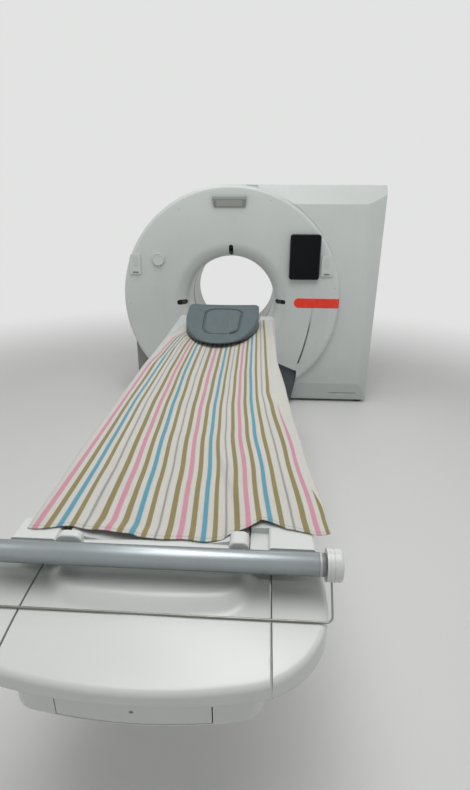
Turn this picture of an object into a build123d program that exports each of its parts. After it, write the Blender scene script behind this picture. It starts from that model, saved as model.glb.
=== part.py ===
from build123d import *
import math
import os

# A CT scanner: a gantry with a round bore and a motor-driven patient table in front of it.
# Millimetres. +X is to the right seen from the table's foot end, +Y runs from the foot end
# into the gantry, +Z is up. The origin is on the floor, under the bore's axis, in the plane
# of the gantry's round front.

# Gantry
BORE_R = 350.0
DISC_R = 875.0
GANTRY_DEPTH = 845.0
SQUARE_REACH = 305.0
FLOOR_GAP = 25.0
SKIN = 6.0
SEAM = 3.0

# Front cover
COVER_WALL = 8.0
FLARE_R = 118.0
FLARE_DEPTH = 130.0
RIM_ROUND = 28.0
DISC_THICK = 75.0
RIM_LIP = 22.0
FACE_BOW = 4.0
ARCH_HALF = 558.0
ARCH_FOOT_HALF = 520.0
ARCH_KNEE = 256.0
ARCH_SHOULDER = 318.0
ARCH_TOP = 408.0
ARCH_TOP_HALF = 340.0
CREASE_R = 1837.0
CREASE_INSET = 213.0
CREASE_LIFT = 83.0
CREASE_UP = 185.0
CREASE_DOWN = 600.0
CREASE_WIDTH = 3.0
CREASE_FLOOR_Y = 6.0

# Square part of the gantry
BOX_FRONT_Y = 60.0
BOX_FRONT_DEPTH = 100.0
BOX_START_X = 200.0
TOP_BEVEL_Z = 135.0
TOP_BEVEL_Y = 90.0
SIDE_BEVEL_X = 36.0
SIDE_BEVEL_Y = 45.0
FOOT_BEVEL_Z = 165.0
FOOT_BEVEL_Y = 50.0
SHROUD_STEP = 15.0
STAND_STEP = 40.0
REAR_THICK = 45.0
REAR_FLARE = 45.0
TOP_COVER_DROP = 75.0

# Air grille and cable inlet in the rear cover
GRILLE_CENTRE = (1000.0, 1225.0)
GRILLE_WIDTH = 240.0
GRILLE_HEIGHT = 550.0
GRILLE_SLOTS = 18
GRILLE_SLOT = 10.0
GRILLE_EDGE = 20.0
INLET_CENTRE = (750.0, 120.0)
INLET_WIDTH = 220.0
INLET_HEIGHT = 120.0
INLET_PLATE = 4.0
GLAND_PITCH = 60.0
GLAND_R = 24.0
GLAND_HOLE_R = 15.0
GLAND_LENGTH = 18.0

# Bore liner
LINER_WALL = 6.0
BEAM_Y = 365.0
SCAN_WINDOW_WIDTH = 70.0
SCAN_WINDOW_WALL = 3.0

# Fittings on the front
LASER_R = 402.0
LASER_LENGTH = 80.0
LASER_WIDTH = 34.0
HOOD_WIDTH = 262.0
HOOD_DROP = 75.0
HOOD_HEIGHT = 86.0
HOOD_REACH = 46.0
HOOD_EDGE = 8.0
BOX_PLATE_HEIGHT = 156.0
BOX_PLATE_WIDTH = 86.0
BOX_PLATE_CORNER = 12.0
BOX_PLATE_LIFT = 290.0
BOX_PLATE_REACH = 14.0
BOX_PLATE_FLOOR = 2.0
BOX_LEFT_INSET = 113.0
BOX_RIGHT_INSET = 123.0
KEY_LENGTH = 44.0
KEY_HEIGHT = 10.0
KEY_DROP = 62.0
KEY_TRAVEL = 2.0
KEY_PROUD = 3.0
DOCK_R = 47.0
DOCK_REACH = 22.0
BARE_DOCK_INSET = 301.0
BARE_DOCK_LIFT = 331.0
TABLET_INSET = 300.0
TABLET_LIFT = 357.0
TABLET_WIDTH = 236.0
TABLET_HEIGHT = 340.0
TABLET_THICK = 12.0
TABLET_CORNER = 22.0
TABLET_EDGE = 3.0

# Rotor and its bearing
ROTOR_R = 760.0
DRUM_HOLE_R = 385.0
DRUM_PLATE_Y = 470.0
DRUM_PLATE = 25.0
RIM_WIDTH = 65.0
RIM_WALL = 20.0
COLLAR_WALL = 20.0
RING_THICK = 20.0
ROLLER_D = 14.8
ROLLER_GAP = 0.1
ROLLER_LENGTH = 40.0
ROLLER_COUNT = 30
OUTER_RING_THICK = 25.0
RACE_Y = 500.0
RACE_WIDTH = 60.0
FRAME_PLATE_Y = 505.0
FRAME_PLATE = 50.0
FRAME_R = 640.0
FRAME_LEG_INSET = 40.0
SLIP_RING_R = 600.0
SLIP_RING_Y = 575.0
SLIP_RING_THICK = 20.0
TRACK_R = 450.0
TRACK_PITCH = 50.0
TRACK_WIDTH = 24.0
TRACK_RISE = 4.0
BRUSH_HALF = 60.0
BRUSH_DEPTH = 50.0
BRUSH_REACH = 150.0
BRUSH_DROP = 90.0
BRUSH_ARM = 60.0
TUBE_R = 95.0
TUBE_HEIGHT = 600.0
TUBE_FRONT_Y = 225.0
TUBE_CAP = 30.0
TUBE_CAP_STEP = 25.0
COLLIMATOR_DEPTH = 80.0
COLLIMATOR_TOP = 50.0
COLLIMATOR_FOOT = 110.0
COLLIMATOR_OVERLAP = 70.0
FAN_ANGLE = 24.0
DETECTOR_CLEARANCE = 70.0
DETECTOR_THICK = 60.0
DETECTOR_DEPTH = 90.0
UNIT_FRONT_Y = 260.0
GENERATOR_X = (-690.0, -450.0)
GENERATOR_Z = (-253.0, 164.0)
COOLER_X = (470.0, 690.0)
COOLER_Z = (20.0, 250.0)
DATA_UNIT_X = (470.0, 675.0)
DATA_UNIT_Z = (-280.0, -40.0)
PULLEY_R = 55.0
SHAFT_R = 14.0
SHAFT_GAP = 0.05
MOTOR_R = 85.0
MOTOR_INSET = 280.0
MOTOR_DROP = 580.0
MOTOR_Y = 500.0
MOTOR_LENGTH = 200.0
BELT_Y = 440.0
BELT_WIDTH = 25.0
BELT_THICK = 5.0
BELT_GAP = 0.3
PULLEY_FLANGE = 2.0
SHAFT_DEPTH = 20.0
SADDLE_HALF = 70.0
SADDLE_SINK = 60.0
SADDLE_START = 30.0
SADDLE_LENGTH = 140.0
CABINET_SIDE_GAP = 30.0
CABINET_WIDTH = 270.0
CABINET_REAR_GAP = 50.0
CABINET_DEPTH = 240.0
CABINET_BOTTOM = 700.0
CABINET_TOP_GAP = 125.0
CABINET_LEG = 40.0

# Gantry base
BASE_BOTTOM = 31.0
BASE_TOP = 100.0
BASE_BEAM = 90.0
BASE_FRONT_Y = 140.0
BASE_REAR_GAP = 20.0
LEVEL_FOOT_R = 40.0
LINK_FRONT_Y = 40.0
LINK_HALF = 190.0
LINK_TOP = 170.0
LINK_GAP = 1.0
FLOOR_LINK_HALF = 150.0
FLOOR_LINK_REACH = 80.0

# Table
TABLE_TOP_Z = 882.0
CRADLE_HALF = 215.0
CRADLE_DIP = 26.0
CRADLE_EDGE = 8.0
CRADLE_BELLY = 20.0
CRADLE_FOOT_Y = -2905.0
CRADLE_HEAD_Y = -530.0
RIB_IN = 95.0
RIB_OUT = 135.0
RIB_BOTTOM = 824.0
RIB_SINK = 6.0
CARRIAGE_HEIGHT = 24.0
CARRIAGE_WIDTH = 48.0
CARRIAGE_LENGTH = 120.0
CARRIAGE_CENTRES = (-2600.0, -2050.0)
RAIL_WIDTH = 20.0
RAIL_GAP = 0.3
RAIL_END = 30.0
END_CAP = 25.0
CAP_BAR_Z = 866.0
CAP_HALF = 242.0
CAP_SIDE_GAP = 2.0
LIP_RIGHT = 192.0
LIP_LEFT = 178.0
LIP_RISE = 12.0
LIP_ROUND = 18.0
CAP_BEVEL_X = 40.0
CAP_BEVEL_Z = 20.0
FRAME_FOOT_Y = -2850.0
FRAME_HEAD_Y = -420.0
FRAME_HALF = 345.0
FRAME_TOP = 880.0
FRAME_BOTTOM = 690.0
FRAME_BEVEL = 14.0
INNER_WALL = 80.0
COVER_SKIN = 5.0
BEAM_HALF = 200.0
BEAM_TOP = 785.0
BEAM_BOTTOM = 700.0
BEAM_WALL = 6.0
OUTRIGGER_COUNT = 5
OUTRIGGER_WIDTH = 40.0
OUTRIGGER_END = 200.0
OUTRIGGER_Z = (715.0, 755.0)
DRIVE_HALF = 70.0
DRIVE_END = 80.0
DRIVE_LENGTH = 160.0
DRIVE_HEIGHT = 32.0
DRIVE_ROLLER_R = 20.0
TRAY_HALF = 288.0
TRAY_FOOT_Y = -3195.0
TRAY_BOTTOM = 600.0
TRAY_BOW = 20.0
TRAY_CORNER = 62.0
TRAY_ROUND = 12.0
PANEL_HALF = 175.0
PANEL_MARGIN = 12.0
PANEL_GAP = 0.5
LOCK_R = 5.0

# Foot cover
FOOT_HALF = 435.0
FOOT_Y = -3222.0
FOOT_BOW = 20.0
FOOT_CORNER = 215.0
FOOT_RIM_Z = 742.0
FOOT_BACK_Z = 778.0
FOOT_SEAM_X = 298.0
FOOT_SEAM = 2.0
FOOT_BULGE = 15.0
FOOT_ROUND = 12.0
HUMP_HALF = 240.0
HUMP_Y = -3006.0
HUMP_Z = 806.0
HUMP_SLOPE = 50.0
HUMP_CORNER = 60.0

# Roll tube at the foot end, its brackets and the wire bail
ROLL_Y = -2964.0
ROLL_Z = 868.0
ROLL_R = 27.5
ROLL_WALL = 2.0
ROLL_HALF = 424.0
PLUG_LENGTH = 15.0
PIN_R = 8.0
PIN_GAP = 0.05
HEAD_R = 39.0
HEAD_IN = 426.0
HEAD_OUT = 464.0
SWIVEL_IN = 433.0
SWIVEL_OUT = 443.0
SWIVEL_STEP = 0.4
HUB_R = 10.0
HUB_GAP = 0.3
BLOCK_ROUND = 9.0
ARM_Y = (-2935.0, -2895.0)
ARM_Z = (816.0, 843.0)
ARM_ROOT = 10.0
HEAD_ROUND = 8.0
BLOCK_RIGHT = (290.0, 405.0)
BLOCK_LEFT = (-360.0, -244.0)
BLOCK_BOTTOM = 810.0
SHELF_Z = 862.0
WIRE_R = 2.5
BAIL_LENGTH = 124.5
BAIL_ANGLE = 46.3
BAIL_CORNER = 14.0
BAIL_SWING = 100.0

# Lift
LIFT_X = 230.0
LIFT_FOOT_Y = -1750.0
LIFT_HEAD_Y = -850.0
LIFT_WALL = 8.0
LIFT_STEP = 4.0
LIFT_CORNER = 60.0
LIFT_BASE_TOP = 232.0
STAGE_HEIGHT = 220.0
STAGE_RISE = 180.0
GLIDE_GAP = 0.3
GLIDE_HEIGHT = 20.0
PLATE_THICK = 12.0
LIFT_TRAVEL = 345.0
NECK_HALF_X = 150.0
NECK_HALF_Y = 350.0
LIFT_DRIVE_HALF = (90.0, 60.0)
LIFT_DRIVE_HEIGHT = 90.0
LIFT_MOTOR_R = 42.0
LIFT_MOTOR_LENGTH = 170.0
PLATE_HALF = 280.0
PLATE_BORDER = 45.0
PLATE_CORNER = 70.0

# Cloth sheet and head-arm support
SHEET_LEFT = -318.0
SHEET_RIGHT = 325.0
SHEET_THICK = 4.0
SHEET_LIFT = 0.5
SHEET_HEAD_Y = -560.0
SUPPORT_HALF = 235.0
SUPPORT_NEAR_Y = -1130.0
SUPPORT_FAR_Y = -630.0
SUPPORT_EDGE = 22.0
SUPPORT_RISE = 103.0
SUPPORT_CORNER = 34.0
SUPPORT_ROUND = 250.0
RECESS_HALF = 115.0
RECESS_DEPTH = 14.0
RECESS_START = 130.0
RECESS_LENGTH = 300.0
RECESS_CORNER = 62.0
PAD_THICK = 6.0
REST_GAP = 0.3

# Derived values
AXIS_Z = DISC_R + FLOOR_GAP
GANTRY_TOP = AXIS_Z + DISC_R
RIGHT_X = DISC_R + SQUARE_REACH
SHROUD_R = DISC_R - SHROUD_STEP
STAND_X = SHROUD_R - STAND_STEP
CONTROL_X = (BOX_LEFT_INSET - DISC_R, DISC_R - BOX_RIGHT_INSET)
BARE_DOCK = (BARE_DOCK_INSET - DISC_R, AXIS_Z + BARE_DOCK_LIFT)
TABLET_CENTRE = (DISC_R - TABLET_INSET, AXIS_Z + TABLET_LIFT)
DETECTOR_R = TUBE_HEIGHT + BORE_R + DETECTOR_CLEARANCE
FLARE_START_R = BORE_R + FLARE_R
REAR_Y = GANTRY_DEPTH - REAR_THICK
BASE_BACK_Y = REAR_Y - BASE_REAR_GAP
MOTOR_X = RIGHT_X - MOTOR_INSET
MOTOR_Z = AXIS_Z - MOTOR_DROP
RIM_START_R = DISC_R - RIM_ROUND
INNER_RING_R = DRUM_HOLE_R + COLLAR_WALL
INNER_RACE_R = INNER_RING_R + RING_THICK
ROLLER_PITCH_R = INNER_RACE_R + ROLLER_GAP + ROLLER_D / 2
OUTER_RACE_R = ROLLER_PITCH_R + ROLLER_D / 2 + ROLLER_GAP
OUTER_RING_R = OUTER_RACE_R + OUTER_RING_THICK
CAP_FRONT_Y = CRADLE_FOOT_Y - END_CAP
FRAME_INNER = CAP_HALF + CAP_SIDE_GAP
SHEET_BOTTOM = TABLE_TOP_Z + SHEET_LIFT
SUPPORT_BOTTOM = SHEET_BOTTOM + SHEET_THICK + REST_GAP
MID_Y = (LIFT_FOOT_Y + LIFT_HEAD_Y) / 2


def block(x0, x1, y0, y1, z0, z1):
    """A box between two corners."""
    centre = Pos((x0 + x1) / 2, (y0 + y1) / 2, (z0 + z1) / 2)
    return centre * Box(x1 - x0, y1 - y0, z1 - z0)


def along_y(sketch, y0, y1):
    """Extrude a front view, drawn as (x, z), from y0 to y1."""
    plane = Plane(origin=(0, y1, 0), x_dir=(1, 0, 0), z_dir=(0, -1, 0))
    return extrude(plane * sketch, y1 - y0)


def along_x(sketch, x0, x1):
    """Extrude a side view, drawn as (y, z), from x0 to x1."""
    plane = Plane(origin=(x0, 0, 0), x_dir=(0, 1, 0), z_dir=(1, 0, 0))
    return extrude(plane * sketch, x1 - x0)


def along_z(sketch, z0, z1):
    """Extrude a plan, drawn as (x, y), from z0 to z1."""
    return extrude(Plane.XY.offset(z0) * sketch, z1 - z0)


def outline(points):
    """A face with straight edges through the points."""
    return make_face(Polyline(*points, close=True))


def turned(profile):
    """Turn a profile, drawn as (radius, y), round the bore's axis."""
    axis = Axis((0, 0, AXIS_Z), (0, 1, 0))
    return revolve(Plane.XY.offset(AXIS_Z) * profile, axis=axis)


def ring(r_in, r_out, y0, y1):
    """A plain ring round the bore's axis."""
    return along_y(Pos(0, AXIS_Z) * (Circle(r_out) - Circle(r_in)), y0, y1)


def disc(r, y0, y1):
    """A plain disc on the bore's axis."""
    return along_y(Pos(0, AXIS_Z) * Circle(r), y0, y1)


def pocket_arc(centre, radius):
    """The quarter arc from straight in front of a centre to straight inside it."""
    cx, cy = centre
    half = radius * math.sqrt(0.5)
    return ThreePointArc((cx, cy - radius), (cx - half, cy - half), (cx - radius, cy))


def rim_arc(radius):
    """The rounded outer rim of the front cover, or its inside."""
    half = radius * math.sqrt(0.5)
    start = (RIM_START_R, RIM_ROUND - radius)
    middle = (RIM_START_R + half, RIM_ROUND - half)
    return ThreePointArc(start, middle, (RIM_START_R + radius, RIM_ROUND))


def face_arc(depth):
    """The slightly bowed face between the flare and the rim, sunk by a depth."""
    inner = (FLARE_START_R, FLARE_DEPTH - FLARE_R + depth)
    middle = ((FLARE_START_R + RIM_START_R) / 2, FACE_BOW + depth)
    return ThreePointArc(inner, middle, (RIM_START_R, depth))


def front_blank():
    """The round front shell before its cut-outs."""
    centre = (FLARE_START_R, FLARE_DEPTH)
    inside = DISC_R - COVER_WALL
    lip_y = DISC_THICK - COVER_WALL
    lip_r = DISC_R - COVER_WALL - RIM_LIP
    profile = make_face([
        pocket_arc(centre, FLARE_R),
        face_arc(0),
        rim_arc(RIM_ROUND),
        Line((DISC_R, RIM_ROUND), (DISC_R, DISC_THICK)),
        Line((DISC_R, DISC_THICK), (lip_r, DISC_THICK)),
        Line((lip_r, DISC_THICK), (lip_r, lip_y)),
        Line((lip_r, lip_y), (inside, lip_y)),
        Line((inside, lip_y), (inside, RIM_ROUND)),
        rim_arc(RIM_ROUND - COVER_WALL),
        face_arc(COVER_WALL),
        pocket_arc(centre, FLARE_R - COVER_WALL),
        Line((BORE_R + COVER_WALL, FLARE_DEPTH), (BORE_R, FLARE_DEPTH)),
    ])
    return turned(profile)


def behind_front():
    """Everything behind the front cover's outer surface, to fit pieces onto it."""
    back = FLARE_DEPTH + 1
    profile = make_face([
        pocket_arc((FLARE_START_R, FLARE_DEPTH), FLARE_R),
        face_arc(0),
        rim_arc(RIM_ROUND),
        Line((DISC_R, RIM_ROUND), (DISC_R, back)),
        Line((DISC_R, back), (BORE_R, back)),
        Line((BORE_R, back), (BORE_R, FLARE_DEPTH)),
    ])
    return turned(profile)


def laser_slots(margin):
    """Three long holes round the bore, each lying along a radius."""
    length = LASER_LENGTH - 2 * margin
    width = LASER_WIDTH - 2 * margin
    slots = []
    for angle in (0, 90, 180):
        place = Pos(0, AXIS_Z) * Rot(0, 0, angle) * Pos(LASER_R, 0)
        slots.append(along_y(place * SlotOverall(length, width), -1, FLARE_DEPTH))
    return slots


def arch_sketch(margin):
    """The opening at the front cover's foot, made smaller by a margin."""
    half = ARCH_HALF - margin
    right = [
        (ARCH_TOP_HALF - margin, ARCH_TOP - margin),
        (half, ARCH_SHOULDER - margin),
        (half, ARCH_KNEE),
        (ARCH_FOOT_HALF - margin, 0),
    ]
    left = [(-x, z) for x, z in reversed(right)]
    return outline(left + right)


def front_cover(blank):
    """The dished front with its flare, arch, laser slots and the fine crease on the right."""
    cover = blank - along_y(arch_sketch(0), -1, DISC_THICK + 1)
    for slot in laser_slots(0):
        cover -= slot
    x = DISC_R - CREASE_INSET
    crease = Circle(CREASE_R) - Circle(CREASE_R - CREASE_WIDTH)
    crease = Pos(x - CREASE_R, AXIS_Z + CREASE_LIFT) * crease
    middle = AXIS_Z + (CREASE_UP - CREASE_DOWN) / 2
    keep = Pos(x, middle) * Rectangle(BORE_R, CREASE_UP + CREASE_DOWN)
    return cover - along_y(crease & keep, -1, CREASE_FLOOR_Y)


def laser_windows(blank):
    """Dark lenses that follow the flare, one in each slot."""
    return [blank & slot for slot in laser_slots(REST_GAP / 2)]


def pillow(inset):
    """The square part's front with its bevels, made smaller by an inset."""
    front = BOX_FRONT_Y + inset
    back = BOX_FRONT_Y + BOX_FRONT_DEPTH + (1 if inset else 0)
    top = GANTRY_TOP - inset
    low = FLOOR_GAP + (-1 if inset else 0)
    right = RIGHT_X - inset
    side_view = outline([
        (back, low),
        (BOX_FRONT_Y + FOOT_BEVEL_Y + inset, low),
        (front, FLOOR_GAP + FOOT_BEVEL_Z),
        (front, GANTRY_TOP - TOP_BEVEL_Z),
        (BOX_FRONT_Y + TOP_BEVEL_Y + inset * 0.5, top),
        (back, top),
    ])
    plan = outline([
        (BOX_START_X - inset, front),
        (RIGHT_X - SIDE_BEVEL_X, front),
        (right, BOX_FRONT_Y + SIDE_BEVEL_Y),
        (right, back),
        (BOX_START_X - inset, back),
    ])
    return along_x(side_view, BOX_START_X - inset, right) & along_z(plan, low, top)


def right_front_cover():
    """The bevelled square front round the disc's right, with a flange that closes the seam."""
    opening = DISC_R + SEAM
    back = BOX_FRONT_Y + BOX_FRONT_DEPTH + 1
    start = DISC_THICK + SEAM
    shell = pillow(0) - pillow(SKIN) - disc(opening, 0, start)
    flange = ring(opening, opening + SKIN, BOX_FRONT_Y, start + SKIN)
    flange += ring(SHROUD_R, opening + SKIN, start, start + SKIN)
    shell += flange & pillow(0)
    return shell - along_y(arch_sketch(-SEAM), 0, back)


def body_outline(inset):
    """The housing's outline behind the front: a circle, a stand at its left, a square at its right."""
    low = FLOOR_GAP + inset
    right = RIGHT_X - inset
    top = GANTRY_TOP - inset
    left = STAND_X - inset
    square = Pos(right / 2, (top + low) / 2) * Rectangle(right, top - low)
    stand = Pos(-left / 2, (AXIS_Z + low) / 2) * Rectangle(left, AXIS_Z - low)
    round_part = Pos(0, AXIS_Z) * Circle(SHROUD_R - inset)
    floor_cut = Pos(0, low - DISC_R) * Rectangle(4 * RIGHT_X, 2 * DISC_R)
    return (round_part + square + stand) - floor_cut


def housing_ring():
    """The sheet-metal and moulded skin round the gantry, before it is split into covers."""
    inner = body_outline(SKIN) + Pos(0, FLOOR_GAP) * Rectangle(4 * STAND_X, 4 * SKIN)
    return along_y(body_outline(0) - inner, DISC_THICK, REAR_Y)


def shoulder_z():
    """Height at which the round shroud meets the straight side of the stand."""
    return AXIS_Z - math.sqrt(SHROUD_R**2 - STAND_X**2)


def left_shroud(skin):
    """The round skin behind the disc's left half."""
    return skin & block(-SHROUD_R - 1, 0, DISC_THICK, REAR_Y, shoulder_z(), GANTRY_TOP)


def left_stand_cover(skin):
    """The grey side of the stand under the shroud, with its front beside the disc."""
    side = skin & block(-SHROUD_R - 1, 0, DISC_THICK, REAR_Y, FLOOR_GAP, shoulder_z())
    front = body_outline(0) - Pos(0, AXIS_Z) * Circle(SHROUD_R) - arch_sketch(-SEAM)
    zone = block(-STAND_X, -ARCH_FOOT_HALF, 0, DISC_THICK + 2 * SKIN, FLOOR_GAP, shoulder_z())
    return side + (along_y(front, DISC_THICK, DISC_THICK + SKIN) & zone)


def top_cover(skin):
    """The lid over the square part."""
    low = GANTRY_TOP - TOP_COVER_DROP
    front_y = BOX_FRONT_Y + BOX_FRONT_DEPTH
    main = block(0, RIGHT_X, front_y, REAR_Y, low, GANTRY_TOP)
    tongue = block(0, BOX_START_X, DISC_THICK, front_y, low, GANTRY_TOP)
    start = DISC_THICK + SEAM
    wall_low = GANTRY_TOP - TOP_BEVEL_Z - SKIN
    web = block(0, BOX_START_X, start, start + SKIN, wall_low, GANTRY_TOP) - disc(SHROUD_R, 0, front_y)
    side = block(BOX_START_X - SKIN, BOX_START_X, start, front_y, wall_low, GANTRY_TOP)
    return (skin & (main + tongue)) + web + side


def right_side_cover(skin):
    """The flat right side."""
    front_y = BOX_FRONT_Y + BOX_FRONT_DEPTH
    return skin & block(AXIS_Z, RIGHT_X, front_y, REAR_Y, FLOOR_GAP, GANTRY_TOP - TOP_COVER_DROP)


def grille_sketch(margin):
    """The grille's outline, made smaller by a margin."""
    return Pos(*GRILLE_CENTRE) * Rectangle(GRILLE_WIDTH - 2 * margin, GRILLE_HEIGHT - 2 * margin)


def rear_cover():
    """The closed back with its funnel and an opening for the grille."""
    funnel_r = BORE_R + REAR_FLARE
    shell = along_y(body_outline(0), REAR_Y, GANTRY_DEPTH)
    hollow = along_y(body_outline(SKIN), REAR_Y - 1, GANTRY_DEPTH - SKIN)
    hollow -= disc(funnel_r + SKIN, REAR_Y - 2, GANTRY_DEPTH)
    half = REAR_FLARE * math.sqrt(0.5)
    arc = ThreePointArc(
        (BORE_R, REAR_Y),
        (funnel_r - half, REAR_Y + half),
        (funnel_r, GANTRY_DEPTH),
    )
    way = make_face([
        Line((0, REAR_Y - 1), (BORE_R, REAR_Y - 1)),
        Line((BORE_R, REAR_Y - 1), (BORE_R, REAR_Y)),
        arc,
        Line((funnel_r, GANTRY_DEPTH), (funnel_r, GANTRY_DEPTH + 1)),
        Line((funnel_r, GANTRY_DEPTH + 1), (0, GANTRY_DEPTH + 1)),
        Line((0, GANTRY_DEPTH + 1), (0, REAR_Y - 1)),
    ])
    return shell - hollow - turned(way) - along_y(grille_sketch(0), REAR_Y, GANTRY_DEPTH + 1)


def rear_grille():
    """Slotted plate that lets warm air out."""
    plate = along_y(grille_sketch(PANEL_GAP), GANTRY_DEPTH - SKIN, GANTRY_DEPTH)
    x, z = GRILLE_CENTRE
    slot = Rectangle(GRILLE_WIDTH - 2 * GRILLE_EDGE, GRILLE_SLOT)
    pitch = (GRILLE_HEIGHT - 2 * GRILLE_EDGE) / GRILLE_SLOTS
    slots = Sketch() + [Pos(x, z) * spot * slot for spot in GridLocations(0, pitch, 1, GRILLE_SLOTS)]
    return plate - along_y(slots, REAR_Y, GANTRY_DEPTH + 1)


def cable_inlet_plate():
    """Plate with three glands at the foot of the rear cover."""
    x, z = INLET_CENTRE
    front = GANTRY_DEPTH + INLET_PLATE
    plate = along_y(Pos(x, z) * Rectangle(INLET_WIDTH, INLET_HEIGHT), GANTRY_DEPTH, front)
    for step in (-1, 0, 1):
        gland = Pos(x + step * GLAND_PITCH, z) * (Circle(GLAND_R) - Circle(GLAND_HOLE_R))
        plate += along_y(gland, front, front + GLAND_LENGTH)
    return plate


def bore_liner():
    """The two tubes that line the bore in front of and behind the scan window."""
    outer = BORE_R + LINER_WALL
    half = SCAN_WINDOW_WIDTH / 2
    front = ring(BORE_R, outer, FLARE_DEPTH, BEAM_Y - half)
    rear = ring(BORE_R, outer, BEAM_Y + half, REAR_Y)
    return [front, rear]


def scan_window():
    """Thin ring that the beam passes through."""
    half = SCAN_WINDOW_WIDTH / 2
    return ring(BORE_R, BORE_R + SCAN_WINDOW_WALL, BEAM_Y - half, BEAM_Y + half)


def hood(behind):
    """Small hood high on the front, its underside slanting back."""
    top = GANTRY_TOP - HOOD_DROP
    low = top - HOOD_HEIGHT
    side_view = outline([
        (RIM_ROUND, top),
        (HOOD_EDGE - HOOD_REACH, top),
        (-HOOD_REACH, top - HOOD_EDGE),
        (-HOOD_REACH, top - HOOD_HEIGHT / 3),
        (-HOOD_EDGE, low),
        (RIM_ROUND, low),
    ])
    half = HOOD_WIDTH / 2
    front_view = outline([
        (-half, top),
        (half, top),
        (half - 1.5 * HOOD_EDGE, low),
        (1.5 * HOOD_EDGE - half, low),
    ])
    body = along_x(side_view, -half, half) & along_y(front_view, -HOOD_REACH - 1, RIM_ROUND + 1)
    return body - behind


def control_boxes(behind):
    """Two flat boxes at the rim, trimmed to it, each with a slot for its key."""
    boxes = []
    rim = disc(DISC_R - SEAM, -BOX_PLATE_REACH - 1, RIM_ROUND)
    shape = RectangleRounded(BOX_PLATE_WIDTH, BOX_PLATE_HEIGHT, BOX_PLATE_CORNER)
    for x in CONTROL_X:
        plate = Pos(x, AXIS_Z + BOX_PLATE_LIFT) * shape
        box = (along_y(plate, -BOX_PLATE_REACH, RIM_ROUND) & rim) - behind
        boxes.append(box - key_solid(x, REST_GAP, BOX_PLATE_REACH - BOX_PLATE_FLOOR))
    return boxes


def key_solid(x, margin, depth):
    """A key's block in its slot, or the slot itself with a margin."""
    half_l = KEY_LENGTH / 2 + margin
    half_h = KEY_HEIGHT / 2 + margin
    front = -BOX_PLATE_REACH - KEY_PROUD
    back = -BOX_PLATE_REACH + depth
    z = AXIS_Z + BOX_PLATE_LIFT - KEY_DROP
    return block(x - half_l, x + half_l, front, back, z - half_h, z + half_h)


def control_key(x):
    """A dark key that is pressed towards the gantry."""
    return key_solid(x, 0, BOX_PLATE_REACH - BOX_PLATE_FLOOR - KEY_TRAVEL - REST_GAP)


def round_docks(behind):
    """Two round docks: the right one holds the tablet, the left one is bare."""
    docks = []
    for x, z in (BARE_DOCK, TABLET_CENTRE):
        docks.append(along_y(Pos(x, z) * Circle(DOCK_R), -DOCK_REACH, RIM_ROUND) - behind)
    return docks


def tablet():
    """Flat tablet that sits on the right dock."""
    plate = Pos(*TABLET_CENTRE) * RectangleRounded(TABLET_WIDTH, TABLET_HEIGHT, TABLET_CORNER)
    solid = along_y(plate, -DOCK_REACH - TABLET_THICK, -DOCK_REACH)
    front = solid.faces().sort_by(Axis.Y)[0]
    return fillet(front.edges(), TABLET_EDGE)


def link_cover():
    """Dark cover behind the arch, with a low tunnel over the base link."""
    low = BASE_BOTTOM + LINK_GAP
    inner_y = LINK_FRONT_Y + SKIN
    opening = along_y(arch_sketch(SEAM), LINK_FRONT_Y, BASE_FRONT_Y)
    opening &= block(-ARCH_HALF, ARCH_HALF, 0, BASE_FRONT_Y, low, ARCH_TOP)
    hollow = along_y(arch_sketch(SEAM + SKIN), inner_y, BASE_FRONT_Y + 1)
    half = LINK_HALF
    tunnel = block(-half, half, LIFT_HEAD_Y, inner_y, low, LINK_TOP)
    way = block(SKIN - half, half - SKIN, LIFT_HEAD_Y - 1, inner_y + 1, low - 1, LINK_TOP - SKIN)
    return (opening - hollow) + tunnel - way


def base_frame():
    """Welded floor frame with the saddle for the drive motor."""
    left = SKIN - STAND_X
    right = RIGHT_X - SKIN
    frame = block(left, right, BASE_FRONT_Y, BASE_BACK_Y, BASE_BOTTOM, BASE_TOP)
    inner = BASE_BEAM
    frame -= block(left + inner, right - inner, BASE_FRONT_Y + inner, BASE_BACK_Y - inner, 0, 2 * BASE_TOP)
    cross = FRAME_PLATE_Y + FRAME_PLATE / 2
    frame += block(left, right, cross - inner / 2, cross + inner / 2, BASE_BOTTOM, BASE_TOP)
    x0 = MOTOR_X - SADDLE_HALF
    x1 = MOTOR_X + SADDLE_HALF
    start = MOTOR_Y + SADDLE_START
    saddle = block(x0, x1, start, start + SADDLE_LENGTH, BASE_TOP, MOTOR_Z - SADDLE_SINK)
    saddle += block(x0, x1, start, BASE_BACK_Y, BASE_BOTTOM, BASE_TOP)
    motor = along_y(Pos(MOTOR_X, MOTOR_Z) * Circle(MOTOR_R), MOTOR_Y, MOTOR_Y + MOTOR_LENGTH)
    return frame + (saddle - motor)


def levelling_feet():
    """Six feet under the floor frame."""
    feet = []
    left = SKIN - STAND_X + BASE_BEAM / 2
    right = RIGHT_X - SKIN - BASE_BEAM / 2
    for x in (left, FLOOR_LINK_HALF + 2 * LEVEL_FOOT_R, right):
        for y in (BASE_FRONT_Y + BASE_BEAM / 2, BASE_BACK_Y - BASE_BEAM / 2):
            feet.append(along_z(Pos(x, y) * Circle(LEVEL_FOOT_R), 0, BASE_BOTTOM))
    return feet


def main_frame():
    """Upright plate that carries the bearing."""
    legs = 2 * (FRAME_R - FRAME_LEG_INSET)
    low = Pos(0, (AXIS_Z + BASE_TOP) / 2) * Rectangle(legs, AXIS_Z - BASE_TOP)
    shape = Pos(0, AXIS_Z) * Circle(FRAME_R) + low
    shape -= Pos(0, AXIS_Z) * Circle(OUTER_RING_R)
    return along_y(shape, FRAME_PLATE_Y, FRAME_PLATE_Y + FRAME_PLATE)


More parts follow.
